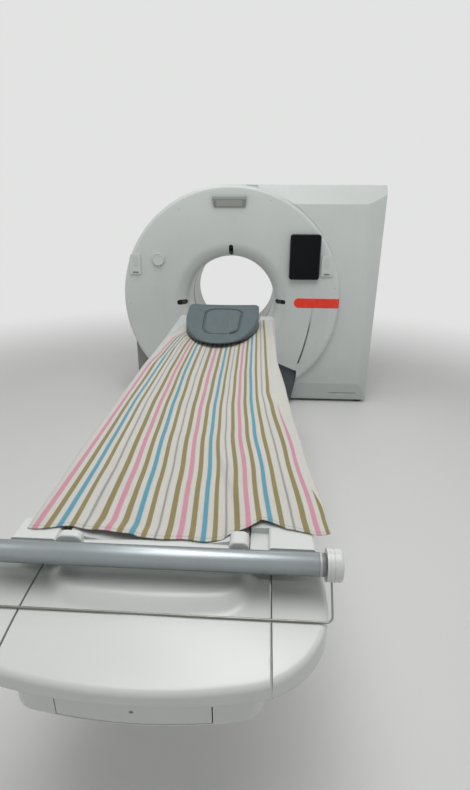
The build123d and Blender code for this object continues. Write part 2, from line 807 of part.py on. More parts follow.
def bearing_rollers():
    """The rollers between the two races."""
    middle = RACE_Y + RACE_WIDTH / 2
    rollers = []
    for index in range(ROLLER_COUNT):
        turn = Pos(0, AXIS_Z) * Rot(0, 0, 360 * index / ROLLER_COUNT) * Pos(ROLLER_PITCH_R, 0)
        start = middle - ROLLER_LENGTH / 2
        rollers.append(along_y(turn * Circle(ROLLER_D / 2), start, start + ROLLER_LENGTH))
    return rollers


def rotor_drum():
    """Plate with a rim for the belt and a collar through the bearing."""
    back = DRUM_PLATE_Y + DRUM_PLATE
    drum = ring(DRUM_HOLE_R, ROTOR_R, DRUM_PLATE_Y, back)
    drum += ring(ROTOR_R - RIM_WALL, ROTOR_R, back - RIM_WIDTH, back)
    return drum + ring(DRUM_HOLE_R, INNER_RING_R, back, SLIP_RING_Y + SLIP_RING_THICK)


def xray_tube():
    """Tube housing with a stepped front cap."""
    centre = Pos(0, AXIS_Z + TUBE_HEIGHT)
    cap_y = TUBE_FRONT_Y + TUBE_CAP
    tube = along_y(centre * Circle(TUBE_R), cap_y, DRUM_PLATE_Y)
    return tube + along_y(centre * Circle(TUBE_R - TUBE_CAP_STEP), TUBE_FRONT_Y, cap_y)


def collimator():
    """Tapered box that narrows the beam under the tube."""
    top = AXIS_Z + TUBE_HEIGHT - COLLIMATOR_OVERLAP
    low = AXIS_Z + BORE_R + COLLIMATOR_DEPTH
    shape = outline([
        (-COLLIMATOR_TOP, top), (COLLIMATOR_TOP, top), (COLLIMATOR_FOOT, low), (-COLLIMATOR_FOOT, low),
    ])
    half = COLLIMATOR_DEPTH / 2
    body = along_y(shape, BEAM_Y - half, BEAM_Y + half)
    tube = Pos(0, AXIS_Z + TUBE_HEIGHT) * Circle(TUBE_R)
    return body - along_y(tube, BEAM_Y - half - 1, BEAM_Y + half + 1)


def detector_arc():
    """Arc of detectors centred on the tube's focal spot, with its carrier."""
    focus = Pos(0, AXIS_Z + TUBE_HEIGHT)
    band = Circle(DETECTOR_R + DETECTOR_THICK) - Circle(DETECTOR_R)
    reach = 2 * DETECTOR_R
    spread = reach * math.tan(math.radians(FAN_ANGLE))
    wedge = outline([(0, 0), (-spread, -reach), (spread, -reach)])
    arc = focus * (band & wedge)
    return along_y(arc, BEAM_Y - DETECTOR_DEPTH / 2, DRUM_PLATE_Y)


def slip_ring():
    """Flat ring with three raised tracks that feed the rotor."""
    back = SLIP_RING_Y + SLIP_RING_THICK
    body = ring(INNER_RING_R, SLIP_RING_R, SLIP_RING_Y, back - TRACK_RISE)
    for index in range(3):
        radius = TRACK_R + index * TRACK_PITCH
        body += ring(radius, radius + TRACK_WIDTH, back - TRACK_RISE, back)
    return body


def brush_block():
    """Fixed brushes at the foot of the slip ring, on an arm from the main frame."""
    back = FRAME_PLATE_Y + FRAME_PLATE
    low = AXIS_Z - SLIP_RING_R - BRUSH_DROP
    face = SLIP_RING_Y + SLIP_RING_THICK + REST_GAP
    half = BRUSH_HALF
    top = low + BRUSH_ARM
    arm = block(-half, half, back, face + BRUSH_DEPTH, low, top)
    return arm + block(-half, half, face, face + BRUSH_DEPTH, top, AXIS_Z - SLIP_RING_R + BRUSH_REACH)


def drive_motor():
    """Motor body with a hole for the pulley's shaft."""
    body = along_y(Pos(MOTOR_X, MOTOR_Z) * Circle(MOTOR_R), MOTOR_Y, MOTOR_Y + MOTOR_LENGTH)
    hole = Pos(MOTOR_X, MOTOR_Z) * Circle(SHAFT_R + SHAFT_GAP)
    return body - along_y(hole, MOTOR_Y - 1, MOTOR_Y + SHAFT_DEPTH + 1)


def motor_pulley():
    """Pulley and its shaft."""
    centre = Pos(MOTOR_X, MOTOR_Z)
    back = BELT_Y + BELT_WIDTH + PULLEY_FLANGE
    wheel = along_y(centre * Circle(PULLEY_R), BELT_Y - PULLEY_FLANGE, back)
    return wheel + along_y(centre * Circle(SHAFT_R), back, MOTOR_Y + SHAFT_DEPTH)


def belt_loop(extra):
    """Outline of a loop round the drum and the pulley, grown by an extra radius."""
    drum = (0, AXIS_Z, ROTOR_R + extra)
    wheel = (MOTOR_X, MOTOR_Z, PULLEY_R + extra)
    heading = math.atan2(MOTOR_Z - AXIS_Z, MOTOR_X)
    lean = math.acos((ROTOR_R - PULLEY_R) / math.hypot(MOTOR_X, MOTOR_Z - AXIS_Z))

    def on(circle, turn):
        x, z, radius = circle
        return (x + radius * math.cos(heading + turn), z + radius * math.sin(heading + turn))

    return make_face([
        Line(on(drum, lean), on(wheel, lean)),
        ThreePointArc(on(wheel, lean), on(wheel, 0), on(wheel, -lean)),
        Line(on(wheel, -lean), on(drum, -lean)),
        ThreePointArc(on(drum, -lean), on(drum, math.pi), on(drum, lean)),
    ])


def drive_belt():
    """Flat belt from the pulley round the drum."""
    loop = belt_loop(BELT_GAP + BELT_THICK) - belt_loop(BELT_GAP)
    return along_y(loop, BELT_Y, BELT_Y + BELT_WIDTH)


def electronics_cabinet():
    """Cabinet on two legs in the square part."""
    x1 = RIGHT_X - CABINET_SIDE_GAP
    y1 = REAR_Y - CABINET_REAR_GAP
    y0 = y1 - CABINET_DEPTH
    low = CABINET_BOTTOM
    cabinet = block(x1 - CABINET_WIDTH, x1, y0, y1, low, GANTRY_TOP - CABINET_TOP_GAP)
    for y in (y0, y1 - CABINET_LEG):
        cabinet += block(x1 - CABINET_LEG, x1, y, y + CABINET_LEG, BASE_TOP, low)
    return cabinet


def drum_unit(x_range, z_range):
    """A closed housing bolted to the front of the drum, its height counted from the axis."""
    x0, x1 = x_range
    z0, z1 = z_range
    return block(x0, x1, UNIT_FRONT_Y, DRUM_PLATE_Y, AXIS_Z + z0, AXIS_Z + z1)


def lift_tube(step):
    """Plan of one telescoping stage: 0 is the outer one."""
    shrink = step * (LIFT_WALL + LIFT_STEP)
    width = 2 * (LIFT_X - shrink)
    length = LIFT_HEAD_Y - LIFT_FOOT_Y - 2 * shrink
    corner = LIFT_CORNER - shrink
    outer = RectangleRounded(width, length, corner)
    inner = RectangleRounded(width - 2 * LIFT_WALL, length - 2 * LIFT_WALL, corner - LIFT_WALL)
    return Pos(0, MID_Y) * outer, Pos(0, MID_Y) * inner


def glide_band(step):
    """Plan of the glide band at the foot of a stage, filling the gap to the stage outside it."""
    grow = 2 * (LIFT_STEP - GLIDE_GAP)
    shrink = step * (LIFT_WALL + LIFT_STEP)
    width = 2 * (LIFT_X - shrink) + grow
    length = LIFT_HEAD_Y - LIFT_FOOT_Y - 2 * shrink + grow
    return Pos(0, MID_Y) * RectangleRounded(width, length, LIFT_CORNER - shrink + grow / 2)


def lift_base():
    """Fixed outer stage."""
    outer, inner = lift_tube(0)
    return along_z(outer - inner, PLATE_THICK, LIFT_BASE_TOP)


def lift_mid():
    """Middle stage, half way up."""
    low = LIFT_BASE_TOP - STAGE_HEIGHT + STAGE_RISE
    outer, inner = lift_tube(1)
    tube = along_z(outer - inner, low, low + STAGE_HEIGHT)
    return tube + along_z(glide_band(1) - inner, low, low + GLIDE_HEIGHT)


def lift_top():
    """Inner stage with its head plate and the neck that carries the beam."""
    low = LIFT_BASE_TOP - STAGE_HEIGHT + 2 * STAGE_RISE
    outer, inner = lift_tube(2)
    tube = along_z(outer - inner, low, TRAY_BOTTOM)
    tube += along_z(glide_band(2) - inner, low, low + GLIDE_HEIGHT)
    tube += along_z(outer, TRAY_BOTTOM - PLATE_THICK, TRAY_BOTTOM)
    front = MID_Y - NECK_HALF_Y
    rear = MID_Y + NECK_HALF_Y
    neck = block(-NECK_HALF_X, NECK_HALF_X, front, rear, TRAY_BOTTOM, BEAM_BOTTOM)
    hollow = block(
        PLATE_THICK - NECK_HALF_X, NECK_HALF_X - PLATE_THICK,
        MID_Y - NECK_HALF_Y + PLATE_THICK, MID_Y + NECK_HALF_Y - PLATE_THICK,
        TRAY_BOTTOM, BEAM_BOTTOM - PLATE_THICK,
    )
    return tube + (neck - hollow)


def lift_drive():
    """Geared motor of the lift on the base plate."""
    half_x, half_y = LIFT_DRIVE_HALF
    start = MID_Y + half_y
    drive = block(-half_x, half_x, MID_Y - half_y, start, PLATE_THICK, PLATE_THICK + LIFT_DRIVE_HEIGHT)
    centre = Pos(0, PLATE_THICK + LIFT_DRIVE_HEIGHT / 2)
    return drive + along_y(centre * Circle(LIFT_MOTOR_R), start, start + LIFT_MOTOR_LENGTH)


def base_plate():
    """Floor plate of the table and the flat link to the gantry's frame."""
    length = LIFT_HEAD_Y - LIFT_FOOT_Y + 2 * PLATE_BORDER
    plate = along_z(Pos(0, MID_Y) * RectangleRounded(2 * PLATE_HALF, length, PLATE_CORNER), 0, PLATE_THICK)
    half = FLOOR_LINK_HALF
    return plate + block(-half, half, LIFT_HEAD_Y, BASE_FRONT_Y + FLOOR_LINK_REACH, 0, BASE_BOTTOM)


def support_beam():
    """Closed box beam with outriggers that carry the side covers."""
    outer = Pos(0, (BEAM_TOP + BEAM_BOTTOM) / 2) * Rectangle(2 * BEAM_HALF, BEAM_TOP - BEAM_BOTTOM)
    head_y = FRAME_HEAD_Y - COVER_SKIN
    beam = along_y(outer, FRAME_FOOT_Y, head_y)
    beam -= along_y(offset(outer, -BEAM_WALL), FRAME_FOOT_Y + BEAM_WALL, head_y - BEAM_WALL)
    reach = FRAME_HALF - COVER_SKIN
    span = FRAME_HEAD_Y - FRAME_FOOT_Y - 2 * OUTRIGGER_END
    for index in range(OUTRIGGER_COUNT):
        y = FRAME_FOOT_Y + OUTRIGGER_END + span * index / (OUTRIGGER_COUNT - 1)
        for x0, x1 in ((-reach, -BEAM_HALF), (BEAM_HALF, reach)):
            beam += block(x0, x1, y - OUTRIGGER_WIDTH / 2, y + OUTRIGGER_WIDTH / 2, *OUTRIGGER_Z)
    return beam


def rail_centre():
    """Distance of a guide rail from the table's centre."""
    return (RIB_IN + RIB_OUT) / 2


def guide_rails():
    """Two rails on top of the beam."""
    rails = []
    top = RIB_BOTTOM - CARRIAGE_HEIGHT / 2
    for side in (-1, 1):
        x = side * rail_centre()
        half = RAIL_WIDTH / 2
        rails.append(block(x - half, x + half, FRAME_FOOT_Y, FRAME_HEAD_Y - RAIL_END, BEAM_TOP, top))
    return rails


def carriages():
    """Four carriages under the tabletop's ribs, running on the rails."""
    blocks = []
    top = RIB_BOTTOM
    low = RIB_BOTTOM - CARRIAGE_HEIGHT
    groove = RAIL_WIDTH / 2 + RAIL_GAP
    groove_top = RIB_BOTTOM - CARRIAGE_HEIGHT / 2 + RAIL_GAP
    for y in CARRIAGE_CENTRES:
        for side in (-1, 1):
            x = side * rail_centre()
            half = CARRIAGE_LENGTH / 2
            side_half = CARRIAGE_WIDTH / 2
            body = block(x - side_half, x + side_half, y - half, y + half, low, top)
            hollow = block(x - groove, x + groove, y - half - 1, y + half + 1, low - 1, groove_top)
            blocks.append(body - hollow)
    return blocks


def tabletop():
    """Curved cradle with two ribs underneath, in one moulding."""
    edge = TABLE_TOP_Z
    section = make_face([
        ThreePointArc((-CRADLE_HALF, edge), (0, edge - CRADLE_DIP), (CRADLE_HALF, edge)),
        Line((CRADLE_HALF, edge), (CRADLE_HALF, edge - CRADLE_EDGE)),
        ThreePointArc(
            (CRADLE_HALF, edge - CRADLE_EDGE),
            (0, edge - CRADLE_DIP - CRADLE_BELLY),
            (-CRADLE_HALF, edge - CRADLE_EDGE),
        ),
        Line((-CRADLE_HALF, edge - CRADLE_EDGE), (-CRADLE_HALF, edge)),
    ])
    for side in (-1, 1):
        rib_top = edge - CRADLE_DIP - RIB_SINK
        section += Pos(side * rail_centre(), (RIB_BOTTOM + rib_top) / 2) * Rectangle(
            RIB_OUT - RIB_IN, rib_top - RIB_BOTTOM
        )
    return along_y(section, CRADLE_FOOT_Y, CRADLE_HEAD_Y)


def end_cap():
    """Moulded cap at the tabletop's foot: a low bar between two raised lips."""
    low = TABLE_TOP_Z - CRADLE_DIP - CRADLE_BELLY
    lip = TABLE_TOP_Z + LIP_RISE
    side = low + CAP_BEVEL_Z
    corner = CAP_HALF - CAP_BEVEL_X
    shape = outline([
        (-CAP_HALF, lip), (-LIP_LEFT, lip), (-LIP_LEFT, CAP_BAR_Z), (LIP_RIGHT, CAP_BAR_Z),
        (LIP_RIGHT, lip), (CAP_HALF, lip), (CAP_HALF, side), (corner, low), (-corner, low),
        (-CAP_HALF, side),
    ])
    shape = fillet(shape.vertices().sort_by(Axis.Y)[-4:], LIP_ROUND)
    return along_y(shape, CAP_FRONT_Y, CRADLE_FOOT_Y)


def tabletop_drive():
    """Flat drive unit on the beam at the gantry end, under the tabletop."""
    half = DRIVE_HALF
    end = FRAME_HEAD_Y - DRIVE_END
    top = BEAM_TOP + DRIVE_HEIGHT
    housing = block(-half, half, end - DRIVE_LENGTH, end, BEAM_TOP, top)
    centre = Pos(end - DRIVE_LENGTH / 2, top - DRIVE_ROLLER_R / 2)
    return housing + along_x(centre * Circle(DRIVE_ROLLER_R), -half, half)


def side_covers():
    """Two long covers, each with an outer wall, a flat top and an inner wall."""
    skin = COVER_SKIN
    tray_side = TRAY_HALF + PANEL_GAP
    shoulder_x = FRAME_HALF - FRAME_BEVEL
    shoulder = FRAME_TOP - FRAME_BEVEL
    wall_foot = FRAME_TOP - INNER_WALL
    section = outline([
        (FRAME_HALF, FRAME_BOTTOM), (FRAME_HALF, shoulder), (shoulder_x, FRAME_TOP),
        (FRAME_INNER, FRAME_TOP), (FRAME_INNER, wall_foot), (FRAME_INNER + skin, wall_foot),
        (FRAME_INNER + skin, FRAME_TOP - skin), (shoulder_x - skin / 2, FRAME_TOP - skin),
        (FRAME_HALF - skin, shoulder - skin / 2), (FRAME_HALF - skin, FRAME_BOTTOM + skin),
        (tray_side, FRAME_BOTTOM + skin), (tray_side, FRAME_BOTTOM),
    ])
    end = outline([
        (FRAME_HALF, FRAME_BOTTOM), (FRAME_HALF, shoulder), (shoulder_x, FRAME_TOP),
        (FRAME_INNER, FRAME_TOP), (FRAME_INNER, BEAM_BOTTOM), (tray_side, BEAM_BOTTOM),
        (tray_side, FRAME_BOTTOM),
    ])
    right = along_y(section, FRAME_FOOT_Y, FRAME_HEAD_Y)
    for start in (FRAME_FOOT_Y, FRAME_HEAD_Y - skin):
        right += along_y(end, start, start + skin)
    return [right, mirror(right, about=Plane.YZ)]


def d_plan(half, foot_y, bow, corner, back_y, inset):
    """A plan with a bowed foot, two round corners and straight sides."""
    half -= inset
    foot_y += inset
    corner -= inset
    side_y = foot_y + bow + corner
    inner = half - corner
    lean = math.atan2(2 * bow, inner) / 2
    turn_x = inner + corner * math.sin(2 * lean)
    turn_y = side_y - corner * math.cos(2 * lean)
    mid_angle = math.radians(-45) + lean
    middle = (inner + corner * math.cos(mid_angle), side_y + corner * math.sin(mid_angle))
    left_middle = (-middle[0], middle[1])
    sag = turn_y - foot_y
    return make_face([
        ThreePointArc((-turn_x, turn_y), (0, turn_y - sag), (turn_x, turn_y)),
        ThreePointArc((turn_x, turn_y), middle, (half, side_y)),
        Line((half, side_y), (half, back_y)),
        Line((half, back_y), (-half, back_y)),
        Line((-half, back_y), (-half, side_y)),
        ThreePointArc((-half, side_y), left_middle, (-turn_x, turn_y)),
    ])


def tray_shell():
    """The long tray under the table, before the panel is cut from its foot."""
    back = FRAME_HEAD_Y
    outer = d_plan(TRAY_HALF, TRAY_FOOT_Y, TRAY_BOW, TRAY_CORNER, back, 0)
    inner = d_plan(TRAY_HALF, TRAY_FOOT_Y, TRAY_BOW, TRAY_CORNER, back - COVER_SKIN, COVER_SKIN)
    tray = along_z(outer, TRAY_BOTTOM, BEAM_BOTTOM)
    foot_edge = tray.edges().filter_by_position(Axis.Z, TRAY_BOTTOM, TRAY_BOTTOM)
    rim = [edge for edge in foot_edge if edge.center().Y < back - 1]
    tray = fillet(rim, TRAY_ROUND)
    return tray - along_z(inner, TRAY_BOTTOM + COVER_SKIN, BEAM_BOTTOM + 1)


def panel_zone(margin):
    """The space of the removable panel at the tray's foot."""
    low = TRAY_BOTTOM + PANEL_MARGIN + margin
    high = BEAM_BOTTOM - PANEL_MARGIN - margin
    half = PANEL_HALF - margin
    return block(-half, half, TRAY_FOOT_Y - 1, TRAY_FOOT_Y + TRAY_CORNER, low, high)


def lower_cover(shell):
    """The tray, open for the panel and for the lift's neck."""
    neck = block(
        -NECK_HALF_X - REST_GAP, NECK_HALF_X + REST_GAP,
        MID_Y - NECK_HALF_Y - REST_GAP, MID_Y + NECK_HALF_Y + REST_GAP,
        TRAY_BOTTOM - 1, TRAY_BOTTOM + 2 * COVER_SKIN,
    )
    return shell - panel_zone(0) - neck


def access_panel(shell):
    """The removable panel with the hole of its lock."""
    middle = (TRAY_BOTTOM + BEAM_BOTTOM) / 2
    lock = along_y(Pos(0, middle) * Circle(LOCK_R), TRAY_FOOT_Y - 1, TRAY_FOOT_Y + TRAY_CORNER)
    return (shell & panel_zone(PANEL_GAP)) - lock


def foot_solid(inset):
    """The foot cover's crowned form with its hump, made smaller by an inset."""
    low = BEAM_BOTTOM + inset
    back = FRAME_FOOT_Y + (1 if inset else 0)
    plan = d_plan(FOOT_HALF, FOOT_Y, FOOT_BOW, FOOT_CORNER, back, inset)
    body = along_z(plan, low, HUMP_Z)
    middle_y = (FOOT_Y + FRAME_FOOT_Y) / 2
    middle_z = (FOOT_RIM_Z + FOOT_BACK_Z) / 2 + FOOT_BULGE - inset
    start = (FOOT_Y - 1, FOOT_RIM_Z - inset)
    end = (back, FOOT_BACK_Z - inset)
    crown = make_face([
        Line((FOOT_Y - 1, low - 1), start),
        ThreePointArc(start, (middle_y, middle_z), end),
        Line(end, (back, low - 1)),
        Line((back, low - 1), (FOOT_Y - 1, low - 1)),
    ])
    body &= along_x(crown, -FOOT_HALF - 1, FOOT_HALF + 1)
    if not inset:
        rim = [
            edge for edge in body.edges()
            if edge.bounding_box().min.Z > FOOT_RIM_Z - FOOT_ROUND and edge.center().Y < back - 1
        ]
        body = fillet(rim, FOOT_ROUND)
    hump_top = d_plan(HUMP_HALF, HUMP_Y, FOOT_BOW, HUMP_CORNER, back, inset)
    hump_foot = d_plan(HUMP_HALF, HUMP_Y, FOOT_BOW, HUMP_CORNER, back, inset - HUMP_SLOPE)
    low_z = FOOT_RIM_Z - 2
    return body + loft([Pos(0, 0, low_z) * hump_foot, Pos(0, 0, HUMP_Z - inset) * hump_top])


def foot_shell():
    """The foot cover as one shell with its underside closed."""
    return foot_solid(0) - foot_solid(COVER_SKIN)


def foot_cover_centre(shell):
    """The middle moulding between the two seams."""
    half = FOOT_SEAM_X - FOOT_SEAM / 2
    return shell & block(-half, half, FOOT_Y - 1, FRAME_FOOT_Y, BEAM_BOTTOM, HUMP_Z)


def foot_cover_sides(shell):
    """The two outer mouldings."""
    start = FOOT_SEAM_X + FOOT_SEAM / 2
    right = shell & block(start, FOOT_HALF, FOOT_Y - 1, FRAME_FOOT_Y, BEAM_BOTTOM, HUMP_Z)
    left = shell & block(-FOOT_HALF, -start, FOOT_Y - 1, FRAME_FOOT_Y, BEAM_BOTTOM, HUMP_Z)
    return [left, right]


def roll_circle(radius):
    """A circle on the roll's axis in a side view."""
    return Pos(ROLL_Y, ROLL_Z) * Circle(radius)


def roll_bracket(block_x):
    """Right-hand bracket: block on the frame, arm, round head in two discs on a hub, stub pin."""
    x0, x1 = block_x
    body = block(x0, x1, CAP_FRONT_Y, FRAME_FOOT_Y, BLOCK_BOTTOM, TABLE_TOP_Z)
    top = body.edges().filter_by(Axis.Y).sort_by(Axis.Z)[-2:]
    body = fillet(top, BLOCK_ROUND)
    if x0 > FRAME_INNER:
        body += block(FRAME_INNER, x0, CAP_FRONT_Y, FRAME_FOOT_Y, BLOCK_BOTTOM, SHELF_Z)
    body += block(x1 - ARM_ROOT, HEAD_IN, *ARM_Y, *ARM_Z)
    arm = block(HEAD_IN, SWIVEL_IN, ROLL_Y, ARM_Y[1], *ARM_Z)
    head = along_x(roll_circle(HEAD_R), HEAD_IN, HEAD_OUT)
    outer = head.faces().sort_by(Axis.X)[-1]
    head = fillet(outer.edges(), HEAD_ROUND)
    slot = along_x(roll_circle(2 * HEAD_R) - roll_circle(HUB_R), SWIVEL_IN, SWIVEL_OUT)
    pin = along_x(roll_circle(PIN_R), 2 * ROLL_HALF - HEAD_IN - PLUG_LENGTH, HEAD_IN)
    return body + arm + (head - slot) + pin


def roll_brackets():
    """The two brackets: the left one is the mirror image with its own block."""
    left = roll_bracket((-BLOCK_LEFT[1], -BLOCK_LEFT[0]))
    return [mirror(left, about=Plane.YZ), roll_bracket(BLOCK_RIGHT)]


def roll_tube():
    """Aluminium tube with a plug in each end that turns on the brackets' pins."""
    tube = along_x(roll_circle(ROLL_R) - roll_circle(ROLL_R - ROLL_WALL), -ROLL_HALF, ROLL_HALF)
    plug = roll_circle(ROLL_R - ROLL_WALL) - roll_circle(PIN_R + PIN_GAP)
    tube += along_x(plug, ROLL_HALF - PLUG_LENGTH, ROLL_HALF)
    return tube + along_x(plug, -ROLL_HALF, PLUG_LENGTH - ROLL_HALF)


def wire_bail():
    """Bent wire with a swivel disc at each end, resting on the foot cover."""
    x = (SWIVEL_IN + SWIVEL_OUT) / 2
    disc_r = HEAD_R - SWIVEL_STEP
    dy = -math.cos(math.radians(BAIL_ANGLE))
    dz = -math.sin(math.radians(BAIL_ANGLE))
    start = disc_r - 2 * WIRE_R
    low = (ROLL_Y + BAIL_LENGTH * dy, ROLL_Z + BAIL_LENGTH * dz)
    high = (ROLL_Y + start * dy, ROLL_Z + start * dz)
    path = FilletPolyline((-x, *high), (-x, *low), (x, *low), (x, *high), radius=BAIL_CORNER)
    section = Plane(origin=(-x, *high), z_dir=(0, dy, dz)) * Circle(WIRE_R)
    wire = sweep(section, path=path)
    swivel = roll_circle(disc_r) - roll_circle(HUB_R + HUB_GAP)
    half = (SWIVEL_OUT - SWIVEL_IN) / 2 - REST_GAP
    for centre in (-x, x):
        wire += along_x(swivel, centre - half, centre + half)
    return wire


def sheet():
    """Cloth laid over the tabletop and the side covers."""
    low = SHEET_BOTTOM
    dip = low - CRADLE_DIP
    section = make_face([
        Line((SHEET_LEFT, low), (-CRADLE_HALF, low)),
        ThreePointArc((-CRADLE_HALF, low), (0, dip), (CRADLE_HALF, low)),
        Line((CRADLE_HALF, low), (SHEET_RIGHT, low)),
        Line((SHEET_RIGHT, low), (SHEET_RIGHT, low + SHEET_THICK)),
        Line((SHEET_RIGHT, low + SHEET_THICK), (CRADLE_HALF, low + SHEET_THICK)),
        ThreePointArc(
            (CRADLE_HALF, low + SHEET_THICK),
            (0, dip + SHEET_THICK),
            (-CRADLE_HALF, low + SHEET_THICK),
        ),
        Line((-CRADLE_HALF, low + SHEET_THICK), (SHEET_LEFT, low + SHEET_THICK)),
        Line((SHEET_LEFT, low + SHEET_THICK), (SHEET_LEFT, low)),
    ])
    return along_y(section, CRADLE_FOOT_Y, SHEET_HEAD_Y)


def support_plane():
    """The head support's slanting top, its origin above the near tip, its y axis uphill."""
    length = SUPPORT_FAR_Y - SUPPORT_NEAR_Y
    slope = math.atan2(SUPPORT_RISE, length)
    normal = (0, -math.sin(slope), math.cos(slope))
    origin = (0, SUPPORT_NEAR_Y, SUPPORT_BOTTOM + SUPPORT_EDGE)
    return Plane(origin=origin, x_dir=(1, 0, 0), z_dir=normal)


def support_plan():
    """A plan with a straight far edge and a round near end."""
    straight_y = SUPPORT_NEAR_Y + SUPPORT_ROUND
    near = Pos(0, straight_y) * Ellipse(SUPPORT_HALF, SUPPORT_ROUND)
    middle = (straight_y + SUPPORT_FAR_Y) / 2
    far = Pos(0, middle) * Rectangle(2 * SUPPORT_HALF, SUPPORT_FAR_Y - straight_y)
    corners = far.vertices().sort_by(Axis.Y)[-2:]
    return near + fillet(corners, SUPPORT_CORNER)


def recess_plan(margin):
    """The hollow for the head, drawn on the slanting top."""
    half = RECESS_HALF - margin
    length = RECESS_LENGTH - 2 * margin
    middle = RECESS_START + RECESS_LENGTH / 2
    return Pos(0, middle) * RectangleRounded(2 * half, length, RECESS_CORNER - margin)


def head_support():
    """Wedge-shaped shell for head and arms with a shallow hollow for the head."""
    top = support_plane()
    wedge = along_z(support_plan(), SUPPORT_BOTTOM, SUPPORT_BOTTOM + 2 * SUPPORT_RISE)
    wide = Pos(0, SUPPORT_HALF) * Rectangle(4 * SUPPORT_HALF, 6 * SUPPORT_HALF)
    above = extrude(top * wide, 2 * SUPPORT_HALF)
    wedge -= above
    return wedge - extrude(top * recess_plan(0), -RECESS_DEPTH)


def head_pad():
    """Soft pad on the floor of the hollow."""
    floor = support_plane().offset(-RECESS_DEPTH)
    return extrude(floor * recess_plan(REST_GAP), PAD_THICK)


def build():
    """All nodes by name."""
    blank = front_blank()
    behind = behind_front()
    skin = housing_ring()
    tray = tray_shell()
    foot = foot_shell()
    nodes = {
        "front_cover": front_cover(blank),
        "right_front_cover": right_front_cover(),
        "top_cover": top_cover(skin),
        "right_side_cover": right_side_cover(skin),
        "left_shroud": left_shroud(skin),
        "left_stand_cover": left_stand_cover(skin),
        "rear_cover": rear_cover(),
        "rear_grille": rear_grille(),
        "cable_inlet_plate": cable_inlet_plate(),
        "bore_liner": bore_liner(),
        "scan_window": scan_window(),
        "laser_windows": laser_windows(blank),
        "hood": hood(behind),
        "control_boxes": control_boxes(behind),
        "control_key_left": control_key(CONTROL_X[0]),
        "control_key_right": control_key(CONTROL_X[1]),
        "round_docks": round_docks(behind),
        "tablet": tablet(),
        "link_cover": link_cover(),
        "base_frame": base_frame(),
        "levelling_feet": levelling_feet(),
        "main_frame": main_frame(),
        "bearing_outer_ring": ring(OUTER_RACE_R, OUTER_RING_R, RACE_Y, RACE_Y + RACE_WIDTH),
        "bearing_inner_ring": ring(INNER_RING_R, INNER_RACE_R, RACE_Y, RACE_Y + RACE_WIDTH),
        "bearing_rollers": bearing_rollers(),
        "rotor_drum": rotor_drum(),
        "xray_tube": xray_tube(),
        "collimator": collimator(),
        "detector_arc": detector_arc(),
        "hv_generator": drum_unit(GENERATOR_X, GENERATOR_Z),
        "tube_cooler": drum_unit(COOLER_X, COOLER_Z),
        "data_unit": drum_unit(DATA_UNIT_X, DATA_UNIT_Z),
        "slip_ring": slip_ring(),
        "brush_block": brush_block(),
        "drive_motor": drive_motor(),
        "motor_pulley": motor_pulley(),
        "drive_belt": drive_belt(),
        "electronics_cabinet": electronics_cabinet(),
        "base_plate": base_plate(),
        "lift_base": lift_base(),
        "lift_mid": lift_mid(),
        "lift_top": lift_top(),
        "lift_drive": lift_drive(),
        "support_beam": support_beam(),
        "guide_rails": guide_rails(),
        "side_covers": side_covers(),
        "lower_cover": lower_cover(tray),
        "access_panel": access_panel(tray),
        "foot_cover_centre": foot_cover_centre(foot),
        "foot_cover_sides": foot_cover_sides(foot),
        "roll_brackets": roll_brackets(),
        "roll_tube": roll_tube(),
        "wire_bail": wire_bail(),
        "tabletop": tabletop(),
        "end_cap": end_cap(),
        "carriages": carriages(),
        "tabletop_drive": tabletop_drive(),
        "sheet": sheet(),
        "head_support": head_support(),
        "head_pad": head_pad(),
    }
    return nodes


os.makedirs("parts", exist_ok=True)
for name, shape in build().items():
    solids = shape if isinstance(shape, list) else [shape]
    pieces = [solid for item in solids for solid in item.solids()]
    export_step(Compound(children=pieces), f"parts/{name}.step")
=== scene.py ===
"""Dressed model of a CT scanner: round-fronted gantry and patient table with a striped sheet.

Metres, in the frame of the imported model: +X right, +Y from the table's foot into the gantry,
+Z up, the origin on the floor under the bore's axis in the plane of the gantry's front.
"""

import logging
import math
from dataclasses import dataclass, field
from enum import Enum
from typing import Callable, Dict, List, Optional, Sequence, Tuple, Union

import bmesh
import bpy
from mathutils import Matrix, Vector, noise


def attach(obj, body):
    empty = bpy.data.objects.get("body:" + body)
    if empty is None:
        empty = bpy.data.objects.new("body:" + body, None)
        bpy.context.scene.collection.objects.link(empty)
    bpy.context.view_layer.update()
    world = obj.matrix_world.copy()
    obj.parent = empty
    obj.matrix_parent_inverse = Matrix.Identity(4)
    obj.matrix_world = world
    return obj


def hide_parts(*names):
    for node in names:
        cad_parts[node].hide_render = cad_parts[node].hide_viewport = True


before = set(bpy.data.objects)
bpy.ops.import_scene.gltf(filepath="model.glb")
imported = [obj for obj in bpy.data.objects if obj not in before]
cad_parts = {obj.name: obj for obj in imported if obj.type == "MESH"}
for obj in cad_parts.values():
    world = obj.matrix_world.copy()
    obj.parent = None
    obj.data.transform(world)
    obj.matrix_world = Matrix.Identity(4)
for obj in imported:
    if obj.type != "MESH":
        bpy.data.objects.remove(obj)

LOG = logging.getLogger("ct_scanner")

Point2 = Tuple[float, float]
Point3 = Tuple[float, float, float]
Colour = Tuple[float, float, float]

AXIS_Z = 0.900
DISC_R = 0.875
ALONG_X = (1.0, 0.0, 0.0)


class Body(Enum):
    """The bodies that the new pieces ride on."""

    GANTRY = "gantry"
    FRAME = "table_frame"
    TOP = "table_top"
    ROLL = "roll"
    BAIL = "bail"


class Grain(Enum):
    """The direction that a metal's drawn or turned lines run in."""

    ALONG_X = (3.0, 900.0, 900.0)
    ALONG_Y = (900.0, 3.0, 900.0)
    NONE = (240.0, 240.0, 240.0)


